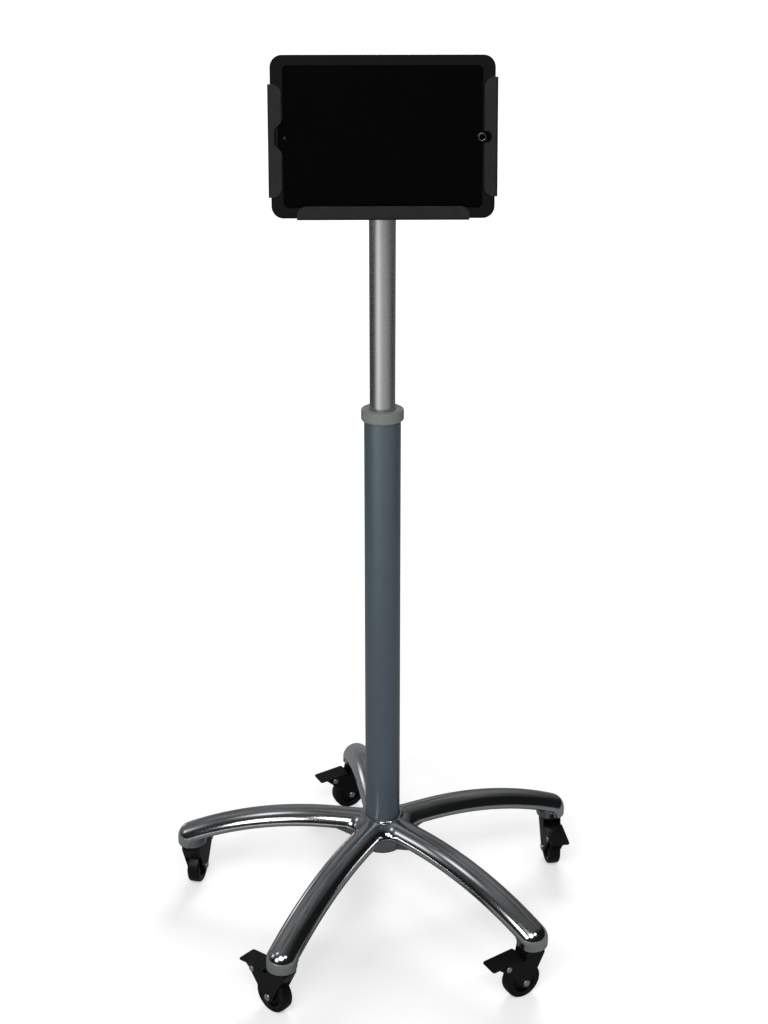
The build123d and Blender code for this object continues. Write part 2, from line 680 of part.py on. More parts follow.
def side_rim(low, high):
    """The right-hand folded rim, between two places along the tray's height."""
    section = bent_edge(FLANGE_X, SIDE_LIP, TRAY_CORE_HALF - SHEET)
    rim = slab_y(section, low, high)
    cut = lip_corners(low, high, FLANGE_X - SIDE_LIP, FLANGE_X - SHEET_BEND_R)
    return rim - slab_z(cut, *lip_slot())


def bottom_rim():
    """The folded rim that carries the tablet."""
    section = bent_edge(FLANGE_BOTTOM, BOTTOM_LIP, CASE_HEIGHT / 4)
    rim = slab_y(section, -BOTTOM_LIP_HALF, BOTTOM_LIP_HALF)
    inner = FLANGE_BOTTOM - BOTTOM_LIP
    cut = lip_corners(-BOTTOM_LIP_HALF, BOTTOM_LIP_HALF, inner, FLANGE_BOTTOM - SHEET_BEND_R)
    return Rot(0, 0, -90) * (rim - slab_z(cut, *lip_slot()))


def tray():
    height = TRAY_CORE_TOP + CASE_HEIGHT / 4
    core = Pos(0, TRAY_CORE_TOP - height / 2) * Rectangle(2 * TRAY_CORE_HALF, height)
    core = fillet(core.vertices().group_by(Axis.Y)[-1], TRAY_CORNER_R)
    body = slab_z(core, SHEET_BACK, SHEET_FRONT)
    body += side_rim(RIGHT_LIP_BOTTOM, RIGHT_LIP_TOP)
    body += mirror(side_rim(LEFT_LIP_BOTTOM, LEFT_LIP_TOP), about=Plane.YZ)
    body += bottom_rim()
    lip_edge = FLANGE_X - SIDE_LIP
    home = rounded_notch(HOME_NOTCH_DEPTH, HOME_NOTCH_INNER, HOME_NOTCH_OUTER, HOME_NOTCH_ROUND)
    body -= slab_z(Pos(-lip_edge, 0) * home, *lip_slot())
    body -= slab_z(Pos(lip_edge + LENS_NOTCH_SHIFT, 0) * lens_notch(), *lip_slot())
    for x, y in grid(FREE_HOLE_PITCH):
        body -= Pos(x, y, 0) * rod_z(FREE_HOLE_R, SHEET_BACK - CUT, SHEET_FRONT + CUT)
    for x, y in grid(TRAY_SCREW_PITCH):
        body -= Pos(x, y, 0) * rod_z(TRAY_SCREW_R + FIXED_FIT, SHEET_BACK - CUT, SHEET_FRONT)
        body -= Pos(x, y, 0) * screw_cone(TRAY_SCREW_R + FIXED_FIT, FIXED_FIT)
    body -= rod_z(PIVOT_HEAD_R + FACE_GAP, SHEET_BACK - CUT, SHEET_FRONT + CUT)
    return reclined(body)


# Tablet


def tablet_plan(side, end):
    """The tablet's outline drawn in by two margins, one at the sides and one at the ends."""
    return Rectangle(TABLET_WIDTH - 2 * side, TABLET_HEIGHT - 2 * end)


def rounded_plan(radius, side, end):
    return fillet(tablet_plan(side, end).vertices(), radius)


def tablet_case():
    body = slab_z(RectangleRounded(CASE_WIDTH, CASE_HEIGHT, CASE_CORNER_R), SHEET_FRONT, CASE_FRONT)
    rims = [body.faces().sort_by(Axis.Z)[i].edges() for i in (0, -1)]
    body = fillet(rims[0] + rims[1], CASE_EDGE_ROUND)
    pocket = rounded_plan(TABLET_CORNER_R + TABLET_GAP, -TABLET_GAP, -TABLET_GAP)
    body -= slab_z(pocket, TABLET_BACK - TABLET_GAP, CASE_FRONT - CASE_FRONT_LIP)
    window = rounded_plan(WINDOW_CORNER_R, WINDOW_SIDE, WINDOW_END)
    home = rounded_notch(CASE_HOME_NOTCH, CASE_HOME_INNER, CASE_HOME_OUTER, CASE_HOME_ROUND)
    window += Pos(WINDOW_SIDE - TABLET_WIDTH / 2, 0) * home
    window += Pos(LENS_X + CASE_LENS_SHIFT, 0) * Circle(CASE_LENS_NOTCH_R)
    return reclined(body - slab_z(window, TABLET_BACK, CASE_FRONT + CUT))


def tablet_body():
    body = slab_z(rounded_plan(TABLET_CORNER_R, 0, 0), TABLET_BACK, GLASS_BACK)
    inside = rounded_plan(TABLET_CORNER_R - TABLET_WALL, TABLET_WALL, TABLET_WALL)
    return reclined(body - slab_z(inside, TABLET_BACK + TABLET_WALL, GLASS_BACK + CUT))


def tablet_glass():
    plan = rounded_plan(TABLET_CORNER_R, 0, 0)
    plan -= Pos(HOME_BUTTON_X, 0) * Circle(HOME_BUTTON_R + HOME_BUTTON_GAP)
    return reclined(slab_z(plan, GLASS_BACK, TABLET_FRONT))


def display_panel():
    return reclined(slab_z(tablet_plan(PANEL_SIDE, PANEL_END), GLASS_BACK - PANEL_DEPTH, GLASS_BACK))


def tablet_battery():
    low = TABLET_BACK + TABLET_WALL
    return reclined(slab_z(tablet_plan(BATTERY_SIDE, BATTERY_END), low, low + BATTERY_DEPTH))


def home_button():
    top = TABLET_FRONT - HOME_BUTTON_SINK
    return reclined(Pos(HOME_BUTTON_X, 0, 0) * rod_z(HOME_BUTTON_R, top - HOME_BUTTON_DEPTH, top))


def lens_ring():
    inner = LENS_RING_R - LENS_RING_WIDTH
    ring = ring_z(LENS_RING_R, inner, TABLET_FRONT, TABLET_FRONT + LENS_RING_HEIGHT)
    return reclined(Pos(LENS_X, 0, 0) * ring)


# Casters


def caster_stem():
    stem = rod_z(STEM_R, TIP_BOSS_BOTTOM, TIP_BOSS_BOTTOM + STEM_LENGTH)
    stem += rod_z(STEM_FLANGE_R, TIP_BOSS_BOTTOM - STEM_FLANGE, TIP_BOSS_BOTTOM)
    head_top = FORK_UNDER - FACE_GAP
    stem += rod_z(KINGPIN_R, head_top - KINGPIN_HEAD, TIP_BOSS_BOTTOM - STEM_FLANGE)
    return stem + rod_z(KINGPIN_HEAD_R, head_top - KINGPIN_HEAD, head_top)


def caster_fork():
    axle = (TRAIL, WHEEL_R, AXLE_LUG_R)
    front_low = (-FORK_FRONT, FORK_TOP - FORK_FRONT_DROP)
    leg = hull([axle], [front_low, (-FORK_FRONT, FORK_TOP), (FORK_REAR, FORK_TOP)])
    arm = hull([axle, (RIVET_U, RIVET_Z, RIVET_LUG_R)], [(0, ARM_LUG_TOP), (FORK_REAR, ARM_LUG_TOP)])
    cheek = slab_y(leg + arm, CHEEK_INNER, CHEEK_OUTER)
    plate = Circle(FORK_R)
    plate += Pos((FORK_REAR - FORK_FRONT) / 2, 0) * Rectangle(FORK_REAR + FORK_FRONT, 2 * CHEEK_OUTER)
    fork = slab_z(plate, FORK_UNDER, FORK_TOP) + mirrored_pair(cheek, Plane.XZ)
    fork -= rod_z(KINGPIN_R + RUNNING_FIT, FORK_UNDER - CUT, FORK_TOP + CUT)
    fork -= rod_y(AXLE_R + FIXED_FIT, -AXLE_HALF, AXLE_HALF, TRAIL, WHEEL_R)
    return fork - rod_y(RIVET_R + FIXED_FIT, -AXLE_HALF, AXLE_HALF, RIVET_U, RIVET_Z)


def headed_pin(radius, head_r, half, u, z):
    """A pin riveted over at both ends, outside the fork's cheeks."""
    pin = rod_y(radius, -CHEEK_OUTER, CHEEK_OUTER, u, z)
    head = rod_y(head_r, CHEEK_OUTER, half, u, z)
    head = fillet(head.edges().filter_by(GeomType.CIRCLE).sort_by(Axis.Y)[-1], HEAD_ROUND)
    return pin + mirrored_pair(head, Plane.XZ)


def caster_pins():
    axle = headed_pin(AXLE_R, AXLE_HEAD_R, AXLE_HALF, TRAIL, WHEEL_R)
    return [axle, headed_pin(RIVET_R, RIVET_HEAD_R, RIVET_HALF, RIVET_U, RIVET_Z)]


def caster_wheel():
    half = WHEEL_HALF_WIDTH
    wheel = rod_y(CORE_R, -half, half, 0, 0) - rod_y(CORE_R - RIM_WALL, -half - CUT, half + CUT, 0, 0)
    wheel += rod_y(CORE_R - RIM_WALL + RIM_OVERLAP, -WEB_HALF, WEB_HALF, 0, 0)
    wheel += rod_y(WHEEL_HUB_R, FACE_GAP - CHEEK_INNER, CHEEK_INNER - FACE_GAP, 0, 0)
    wheel -= rod_y(AXLE_R + RUNNING_FIT, -AXLE_HALF, AXLE_HALF, 0, 0)
    return Pos(TRAIL, 0, WHEEL_R) * wheel


def caster_tyre():
    half = WHEEL_HALF_WIDTH
    tyre = rod_y(WHEEL_R, -half, half, 0, 0)
    tyre = fillet(tyre.edges().filter_by(GeomType.CIRCLE), TREAD_ROUND)
    return Pos(TRAIL, 0, WHEEL_R) * (tyre - rod_y(CORE_R + FIXED_FIT, -half - CUT, half + CUT, 0, 0))


def brake_pedal():
    slope = math.tan(math.radians(PEDAL_SLOPE_DEG))
    front_z = PEDAL_TIP_Z + (PEDAL_TIP_U - PEDAL_FRONT_U) * slope
    mid_z = front_z - PEDAL_SHEET / 2
    side = outline(
        (PEDAL_FRONT_U, front_z),
        (PEDAL_TIP_U, PEDAL_TIP_Z),
        (PEDAL_TIP_U, PEDAL_TIP_Z - PEDAL_SHEET),
        (PEDAL_FRONT_U, front_z - PEDAL_SHEET),
    )
    plate = slab_y(side, -PEDAL_HALF, PEDAL_HALF)
    plate = fillet(plate.edges().filter_by(Axis.Z), PEDAL_CORNER_R)
    towards_axle = math.atan2(WHEEL_R - RIVET_Z, TRAIL - RIVET_U)
    shoe_angle = towards_axle + math.radians(PEDAL_PRESS_DEG)
    shoe_u = RIVET_U + SHOE_REACH * math.cos(shoe_angle)
    shoe_z = RIVET_Z + SHOE_REACH * math.sin(shoe_angle)
    flange_front = PEDAL_FRONT_U + PEDAL_FLANGE_FRONT
    flange_rear = PEDAL_TIP_U - PEDAL_FLANGE_REAR
    under = [(u, mid_z - (u - PEDAL_FRONT_U) * slope) for u in (flange_front, flange_rear)]
    flange = hull([(RIVET_U, RIVET_Z, RIVET_LUG_R), (shoe_u, shoe_z, SHOE_R)], under)
    pedal = plate + mirrored_pair(slab_y(flange, PEDAL_CHEEK_INNER, PEDAL_CHEEK_OUTER), Plane.XZ)
    pedal += rod_y(SHOE_R, -PEDAL_CHEEK_OUTER, PEDAL_CHEEK_OUTER, shoe_u, shoe_z)
    return pedal - rod_y(RIVET_R + RUNNING_FIT, -PEDAL_HALF, PEDAL_HALF, RIVET_U, RIVET_Z)


def caster_place(index):
    """From the caster's own axes to its arm's end."""
    angle = math.radians(arm_deg(index))
    x = STEM_CIRCLE_R * math.cos(angle)
    y = STEM_CIRCLE_R * math.sin(angle)
    return Pos(x, y, 0) * Rot(0, 0, TRAIL_DEG[index])


def caster_nodes():
    forms = {
        "fork": [caster_fork()],
        "pins": caster_pins(),
        "wheel": [caster_wheel()],
        "tyre": [caster_tyre()],
        "pedal": [brake_pedal()],
    }
    nodes = {"caster_stems": [caster_place(i) * caster_stem() for i in range(ARM_COUNT)]}
    for index, name in enumerate(CASTER_NAMES):
        for form, pieces in forms.items():
            nodes[f"{form}_{name}"] = [caster_place(index) * piece for piece in pieces]
    return nodes


def all_nodes():
    single = (
        star_base,
        outer_column,
        column_foot,
        column_collar,
        rod_washer,
        rod_clip,
        gas_rod,
        gas_piston,
        gas_tube,
        gas_seal,
        release_pin,
        post,
        guide_bush,
        head_socket,
        tilt_bolt,
        tilt_knob,
        lever_pin,
        release_lever,
        tilt_knuckle,
        friction_disc,
        pivot_bolt,
        rotor_plate,
        tray,
        tablet_case,
        tablet_body,
        tablet_glass,
        display_panel,
        tablet_battery,
        home_button,
        lens_ring,
    )
    grouped = (socket_screws, tilt_washers, tray_screws)
    nodes = {make.__name__: [make()] for make in single}
    nodes.update({make.__name__: make() for make in grouped})
    nodes.update(caster_nodes())
    return nodes


os.makedirs("parts", exist_ok=True)
for node, pieces in all_nodes().items():
    solids = [solid for piece in pieces for solid in piece.solids()]
    export_step(Compound(solids), f"parts/{node}.step")
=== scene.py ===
import json
import math

import bmesh
import bpy
import numpy as np
from mathutils import Euler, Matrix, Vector

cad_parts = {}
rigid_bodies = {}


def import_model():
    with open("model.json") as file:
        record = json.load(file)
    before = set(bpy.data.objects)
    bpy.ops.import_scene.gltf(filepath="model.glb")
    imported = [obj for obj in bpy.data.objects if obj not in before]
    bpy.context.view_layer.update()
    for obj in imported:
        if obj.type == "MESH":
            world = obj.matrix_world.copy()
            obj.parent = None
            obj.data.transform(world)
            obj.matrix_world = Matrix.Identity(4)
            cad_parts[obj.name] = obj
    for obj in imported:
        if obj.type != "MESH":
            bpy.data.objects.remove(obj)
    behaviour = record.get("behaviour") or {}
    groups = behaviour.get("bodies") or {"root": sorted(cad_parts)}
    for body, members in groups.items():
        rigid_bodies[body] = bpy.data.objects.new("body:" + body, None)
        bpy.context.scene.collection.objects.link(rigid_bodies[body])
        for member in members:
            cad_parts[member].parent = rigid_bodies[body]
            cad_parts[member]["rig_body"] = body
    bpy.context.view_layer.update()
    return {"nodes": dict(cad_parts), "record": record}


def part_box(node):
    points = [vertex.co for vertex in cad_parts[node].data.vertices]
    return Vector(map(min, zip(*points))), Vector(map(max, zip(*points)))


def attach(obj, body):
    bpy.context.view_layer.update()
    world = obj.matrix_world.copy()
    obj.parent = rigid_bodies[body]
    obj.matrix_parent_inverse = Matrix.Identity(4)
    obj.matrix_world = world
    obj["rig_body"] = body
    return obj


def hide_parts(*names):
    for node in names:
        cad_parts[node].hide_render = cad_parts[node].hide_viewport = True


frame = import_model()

MM = 0.001
NODES = frame["nodes"]

# Sizes shared with the CAD, in millimetres; TRAILS is in degrees, the other angles in radians
ARMS = 5
FIRST_ARM = math.radians(241.6)
STEM_CIRCLE = 274.2
ARM_HALF = 21.0
ARM_WALL = 3.5
CREST_R = 68.5
CREST_Z = 148.5
TIP_DROP = 46.1
SPINE_R = ((STEM_CIRCLE - CREST_R) ** 2 + TIP_DROP ** 2) / (2 * TIP_DROP)
SPINE_Z = CREST_Z - ARM_HALF
BEND_Z = SPINE_Z - SPINE_R
TIP_Z = SPINE_Z - TIP_DROP
TIP_SLOPE = math.asin((STEM_CIRCLE - CREST_R) / SPINE_R)
BOSS_BOTTOM = 72.4
HUB_R = 27.0
HUB_LOW = 98.0
HUB_HIGH = 148.9
HUB_BORE_R = 23.51
CASTERS = ("front_left", "front_right", "right", "back", "left")
TRAILS = (137.4, 208.8, 278.4, 205.7, 77.1)
AXLE_U = 15.1
AXLE_Z = 25.0
RECLINE = math.radians(11)
HEAD_Z = 1066.85
EAR_OUTER = 14.95
BOLT_R = 4.0
SOCKET_RIM_Z = 1006.0
GRUB_Z = SOCKET_RIM_Z + 11.0

# Sizes of the casting, in millimetres; SKIRT_SLANT is a slope
SIDE_BLEND = 20.0
FACE_BLEND = 3.0
HOLLOW_START = 44.0
HOLLOW_END = 250.0
HOLLOW_BLEND = 6.0
HOLLOW_EDGE = 1.0
RIB_HALF = 2.5
RIB_START = 25.0
RIB_END = 92.0
RIB_FOOT = 100.0
RIB_RISE = 27.5
RIB_RUN = 68.0
RIB_TOP = 140.0
RIB_BLEND = 2.0
SKIRT_OVERLAP = 3.0
SKIRT_EDGE = 1.6
SKIRT_BACK = 2.5
SKIRT_SLANT = 0.35
SKIRT_CUT_BLEND = 1.0
BOSS_R = 19.4
BOSS_TOP = 88.0
BOSS_EDGE = 1.2
TIP_BLEND = 0.3
HUB_LOW_EDGE = 3.0
HUB_HIGH_EDGE = 2.4
HUB_BLEND = 3.0
BORE_FLOOR = 104.0
BORE_EDGE = 0.6
HUB_HOLE_R = 6.0
STEM_HOLE_R = 5.55
STEM_HOLE_TOP = 92.7

# Sizes of the small pieces, in millimetres; SPOKES is a count
SPOKES = 10
CASTER_EDGE = 0.35
RING_BORE = 3.62
RING_FOOT = 0.1
RING_LIP = 0.38
KEY_CORE = 0.02
KEY_EDGE = 0.15
DISH_DEPTH = 0.1
DIMPLE_R = 1.1
DIMPLE_DEPTH = 0.4
KNOB_R = 15.0
DIP_R = 3.5
DIP_PLACE = 16.2
DIP_BLEND = 1.6

# How finely the casting is sampled, in millimetres
FINE_STEP = 1.3
FIELD_MARGIN = 4
FIELD_HEADROOM = 5
NORMAL_REACH = 0.4

# Cleaning a field and pulling its surface onto the shape; PROBE and LONGEST_PULL are shares of a step
FACE_CORNERS = ((0, 0), (1, 0), (0, 1), (1, 1))
SETTLE_ROUNDS = 20
JUST_INSIDE = -1e-3
SLAB = 16
PULL_ROUNDS = 3
PROBE = 0.05
LEAST_SLOPE_SQUARED = 0.25
LONGEST_PULL = 0.5

# How meshes are cleaned and softened, in metres and radians
SHARP_ANGLE = math.radians(40)
MERGE_WITHIN = 2e-6
FLAT_WITHIN = math.radians(0.6)
SOFT_ANGLE = math.radians(38)
SOFT_SEGMENTS = 2


# Meshes from distance fields
def smooth_min(a, b, k):
    h = np.clip(0.5 + 0.5 * (b - a) / k, 0, 1)
    return b + (a - b) * h - k * h * (1 - h)


def smooth_max(a, b, k):
    return -smooth_min(-a, -b, k)


def settle(field):
    """Fills in chequered cell faces of a sampled field, where four faces would share one edge."""
    for _ in range(SETTLE_ROUNDS):
        inside = field < 0
        found = 0
        for u, v in ((0, 1), (0, 2), (1, 2)):
            part = []
            for du, dv in FACE_CORNERS:
                cut = [slice(None)] * 3
                cut[u] = slice(du, field.shape[u] - 1 + du)
                cut[v] = slice(dv, field.shape[v] - 1 + dv)
                part.append(inside[tuple(cut)])
            chequered = (part[0] == part[3]) & (part[1] == part[2]) & (part[0] != part[1])
            for at in np.argwhere(chequered):
                around = []
                for du, dv in FACE_CORNERS:
                    place = at.copy()
                    place[u] += du
                    place[v] += dv
                    around.append(tuple(place))
                outside = [place for place in around if field[place] >= 0]
                if outside:
                    field[min(outside, key=lambda place: field[place])] = JUST_INSIDE
                    found += 1
        if not found:
            break


def surface_net(distance, low, high, step):
    """Vertices and quads of the surface where distance(x, y, z) is zero, in the field's own unit."""
    axes = [np.arange(a, b + step, step) for a, b in zip(low, high)]
    field = np.empty([len(a) for a in axes], np.float32)
    gy, gz = np.meshgrid(axes[1], axes[2], indexing="ij")
    for i in range(0, len(axes[0]), SLAB):
        gx = axes[0][i:i + SLAB, None, None]
        field[i:i + SLAB] = distance(gx, gy[None], gz[None])
    settle(field)
    inside = field < 0
    nx, ny, nz = (n - 1 for n in field.shape)

    def corner(samples, c):
        return samples[c[0]:c[0] + nx, c[1]:c[1] + ny, c[2]:c[2] + nz]

    corners = [(i, j, k) for i in (0, 1) for j in (0, 1) for k in (0, 1)]
    count = sum(corner(inside, c).astype(np.int8) for c in corners)
    cells = np.argwhere((count > 0) & (count < 8))
    number = np.full((nx, ny, nz), -1, np.int64)
    number[tuple(cells.T)] = np.arange(len(cells))
    total = np.zeros((len(cells), 3))
    hits = np.zeros(len(cells))
    for a in corners:
        for axis in range(3):
            if a[axis]:
                continue
            b = tuple(1 if n == axis else v for n, v in enumerate(a))
            fa = field[tuple((cells + a).T)]
            fb = field[tuple((cells + b).T)]
            cross = (fa < 0) != (fb < 0)
            t = np.where(cross, fa / np.where(cross, fa - fb, 1), 0)
            point = np.array(a, float)[None] + t[:, None] * (np.array(b) - np.array(a))[None]
            total += point * cross[:, None]
            hits += cross
    points = cells + total / hits[:, None]
    points = np.array(low) + points * step
    quads = []
    for axis in range(3):
        u, v = [n for n in range(3) if n != axis]
        one = [slice(None)] * 3
        two = [slice(None)] * 3
        one[axis], two[axis] = slice(0, -1), slice(1, None)
        change = inside[tuple(one)] != inside[tuple(two)]
        at = np.argwhere(change)
        at_u, at_v = at[:, u], at[:, v]
        at = at[(at_u > 0) & (at_v > 0) & (at_u < field.shape[u] - 1) & (at_v < field.shape[v] - 1)]
        ring = []
        for du, dv in ((1, 1), (0, 1), (0, 0), (1, 0)):
            cell = at.copy()
            cell[:, u] -= du
            cell[:, v] -= dv
            ring.append(number[tuple(cell.T)])
        quad = np.stack(ring, 1)
        outward = inside[tuple(at.T)]
        flip = outward if axis != 1 else ~outward
        quad[~flip] = quad[~flip][:, ::-1]
        quads.append(quad)
    quads = np.concatenate(quads)
    quads = quads[(quads >= 0).all(1)]
    for _ in range(PULL_ROUNDS):
        f = distance(*points.T)
        e = step * PROBE
        grad = np.stack([(distance(*(points + d).T) - f) / e for d in np.eye(3) * e], 1)
        size = np.maximum((grad ** 2).sum(1), LEAST_SLOPE_SQUARED)
        move = -(f / size)[:, None] * grad
        points = points + np.clip(move, -step * LONGEST_PULL, step * LONGEST_PULL)
    return points, quads


def slope(distance, points, reach):
    """The direction in which the distance grows fastest at each point."""
    steps = np.eye(3) * reach
    out = np.stack([distance(*(points + d).T) - distance(*(points - d).T) for d in steps], 1)
    return out / np.maximum(np.linalg.norm(out, axis=1, keepdims=True), 1e-9)


def star_distance(x, y, z):
    """The cast base: five half-round arms that run together round the hub, hollow below."""
    r = np.hypot(x, y)
    sector = 2 * math.pi / ARMS
    turn = np.abs((np.arctan2(y, x) - FIRST_ARM + sector / 2) % sector - sector / 2)
    along, across = r * np.cos(turn), r * np.sin(turn)
    lateral = np.maximum(smooth_min(across, r * np.sin(sector - turn), SIDE_BLEND), 0)
    bent = np.hypot(np.maximum(along - CREST_R, 0), z - BEND_Z) - SPINE_R
    height = np.where(along > CREST_R, bent, z - SPINE_Z)
    arm = smooth_max(np.hypot(lateral, np.maximum(height, 0)) - ARM_HALF, -height, FACE_BLEND)
    tip_x, tip_z = along - STEM_CIRCLE, z - TIP_Z
    end = tip_x * math.cos(TIP_SLOPE) - np.maximum(tip_z, 0) * math.sin(TIP_SLOPE)
    arm = np.maximum(arm, end)
    cavity_side = np.hypot(across, np.maximum(height, 0)) - (ARM_HALF - ARM_WALL)
    cavity = smooth_max(cavity_side, HOLLOW_START - along, HOLLOW_BLEND)
    cavity = smooth_max(cavity, along - HOLLOW_END, HOLLOW_BLEND)
    arm = smooth_max(arm, -cavity, HOLLOW_EDGE)
    rib_low = RIB_FOOT + (along - RIB_START) * RIB_RISE / RIB_RUN
    rib_ends = np.maximum(along - RIB_END, RIB_START - along)
    rib = np.maximum(np.maximum(across - RIB_HALF, rib_low - z), np.maximum(z - RIB_TOP, rib_ends))
    arm = smooth_min(arm, rib, RIB_BLEND)
    flank = np.hypot(tip_x, across)
    dome = np.maximum(np.sqrt(tip_x ** 2 + across ** 2 + tip_z ** 2) - ARM_HALF, -tip_z)
    skirt = np.maximum(np.hypot(flank, np.maximum(tip_z, 0)) - ARM_HALF, tip_z - SKIRT_OVERLAP)
    skirt = smooth_max(skirt, BOSS_BOTTOM - z, SKIRT_EDGE)
    skirt = smooth_max(skirt, -(tip_x + SKIRT_BACK + SKIRT_SLANT * np.minimum(tip_z, 0)), SKIRT_CUT_BLEND)
    boss = smooth_max(np.maximum(flank - BOSS_R, z - BOSS_TOP), BOSS_BOTTOM - z, BOSS_EDGE)
    body = np.minimum(smooth_min(arm, np.minimum(skirt, boss), TIP_BLEND), dome)
    hub = smooth_max(smooth_max(r - HUB_R, HUB_LOW - z, HUB_LOW_EDGE), z - HUB_HIGH, HUB_HIGH_EDGE)
    body = smooth_min(body, hub, HUB_BLEND)
    body = np.maximum(body, z - HUB_HIGH)
    bore = np.maximum(r - HUB_BORE_R, BORE_FLOOR - z)
    body = smooth_max(body, -bore, BORE_EDGE)
    body = np.maximum(body, HUB_HOLE_R - r)
    stem_hole = np.maximum(flank - STEM_HOLE_R, z - STEM_HOLE_TOP)
    return np.maximum(body, -stem_hole)


# Mesh helpers
def mesh_object(name, points, faces, material, body, node=None, smooth=True, normals=None):
    """A piece from points in millimetres, riding on a body and standing for CAD nodes."""
    mesh = bpy.data.meshes.new(name)
    corners = [tuple(p) for p in np.asarray(points, float) * MM]
    mesh.from_pydata(corners, [], [list(map(int, f)) for f in faces])
    mesh.validate()
    mesh.materials.append(material)
    if normals is None:
        bm = bmesh.new()
        bm.from_mesh(mesh)
        bmesh.ops.recalc_face_normals(bm, faces=bm.faces)
        bm.to_mesh(mesh)
        bm.free()
    if smooth:
        mesh.shade_smooth()
        if normals is None:
            mesh.set_sharp_from_angle(angle=SHARP_ANGLE)
        else:
            mesh.normals_split_custom_set_from_vertices([tuple(n) for n in normals])
    piece = bpy.data.objects.new(name, mesh)
    bpy.context.scene.collection.objects.link(piece)
    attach(piece, body)
    if node:
        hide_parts(*([node] if isinstance(node, str) else node))
    return piece


def lathe(profile, segments=64):
    """A closed profile of (radius, height) turned about Z."""
    angles = np.arange(segments) * 2 * math.pi / segments
    points = [(r * math.cos(a), r * math.sin(a), h) for a in angles for r, h in profile]
    n = len(profile)
    faces = []
    for i in range(segments):
        j = (i + 1) % segments
        for k in range(n):
            m = (k + 1) % n
            faces.append((i * n + k, j * n + k, j * n + m, i * n + m))
    return np.array(points), faces


def turned(rings, segments=72):
    """Rings of (radius, height) about Z, closed by a flat at each end; a radius may follow the angle."""
    angles = np.arange(segments) * 2 * math.pi / segments
    points = []
    for radius, height in rings:
        r = radius(angles) if callable(radius) else np.full(segments, float(radius))
        points.append(np.stack([r * np.cos(angles), r * np.sin(angles), np.full(segments, float(height))], 1))
    faces = [tuple(range(segments)), tuple(range((len(rings) - 1) * segments, len(rings) * segments))]
    for k in range(len(rings) - 1):
        for i in range(segments):
            j = (i + 1) % segments
            faces.append((k * segments + i, k * segments + j, (k + 1) * segments + j, (k + 1) * segments + i))
    return np.concatenate(points), faces


def hexagon(flats):
    """The radius, by angle, of a hexagon that is this wide across its flats."""
    sixth = math.pi / 3
    return lambda a: flats / 2 / np.cos((a + sixth / 2) % sixth - sixth / 2)


def rounded(points, radius, steps=4):
    """A closed outline with each corner rounded; radius is one number or one per corner."""
    radii = radius if isinstance(radius, (list, tuple)) else [radius] * len(points)
    out = []
    n = len(points)
    for i, (p, r) in enumerate(zip(points, radii)):
        p, a, b = np.array(p, float), np.array(points[i - 1], float), np.array(points[(i + 1) % n], float)
        ua, ub = (a - p), (b - p)
        la, lb = np.linalg.norm(ua), np.linalg.norm(ub)
        if r <= 0:
            out.append(tuple(p))
            continue
        ua, ub = ua / la, ub / lb
        half = math.acos(max(-1, min(1, float(ua @ ub)))) / 2
        reach = min(r / math.tan(half), la * 0.49, lb * 0.49)
        start, end = p + ua * reach, p + ub * reach
        for s in range(steps + 1):
            t = s / steps
            out.append(tuple((1 - t) ** 2 * start + 2 * t * (1 - t) * p + t ** 2 * end))
    return out


def soften(name, material, width):
    """Takes over a CAD node's shape with its sharp edges rounded."""
    source = NODES[name]
    mesh = source.data.copy()
    piece = bpy.data.objects.new("soft_" + name, mesh)
    bpy.context.scene.collection.objects.link(piece)
    bm = bmesh.new()
    bm.from_mesh(mesh)
    bmesh.ops.remove_doubles(bm, verts=bm.verts, dist=MERGE_WITHIN)
    bmesh.ops.dissolve_limit(bm, angle_limit=FLAT_WITHIN, verts=bm.verts, edges=bm.edges)
    bm.to_mesh(mesh)
    bm.free()
    mesh.materials.clear()
    mesh.materials.append(material)
    mesh.shade_smooth()
    bevel = piece.modifiers.new("edges", "BEVEL")
    bevel.width = width * MM
    bevel.segments = SOFT_SEGMENTS
    bevel.limit_method = "ANGLE"
    bevel.angle_limit = SOFT_ANGLE
    bevel.miter_outer = "MITER_ARC"
    bevel.use_clamp_overlap = True
    normals = piece.modifiers.new("normals", "WEIGHTED_NORMAL")
    normals.keep_sharp = True
    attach(piece, source["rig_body"])
    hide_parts(name)
    return piece


# Materials
CLOUD_SHARE = 0.6
FINE_SHARE = 0.4
WAVE_SCALE = 30.0


def linear(*rgb):
    """A colour from 0 to 255 as the screen shows it, made linear."""
    out = [c / 255 / 12.92 if c / 255 <= 0.04045 else ((c / 255 + 0.055) / 1.055) ** 2.4 for c in rgb]
    return tuple(out) + (1.0,)


def shade(colour, factor):
    return tuple(min(1.0, c * factor) for c in colour[:3]) + (1.0,)


def add_node(tree, kind, inputs=(), **settings):
    made = tree.nodes.new(kind)
    for key, value in settings.items():
        setattr(made, key, value)
    for key, value in dict(inputs).items():
        if isinstance(value, bpy.types.NodeSocket):
            tree.links.new(value, made.inputs[key])
        else:
            made.inputs[key].default_value = value
    return made


def mix_colour(tree, factor, a, b):
    made = add_node(tree, "ShaderNodeMix", {0: factor, 6: a, 7: b}, data_type="RGBA")
    return made.outputs[2]


def remap(tree, value, low, high, to_low, to_high):
    made = add_node(tree, "ShaderNodeMapRange", {0: value, 1: low, 2: high, 3: to_low, 4: to_high})
    return made.outputs[0]


def math_node(tree, operation, a, b):
    return add_node(tree, "ShaderNodeMath", {0: a, 1: b}, operation=operation).outputs[0]


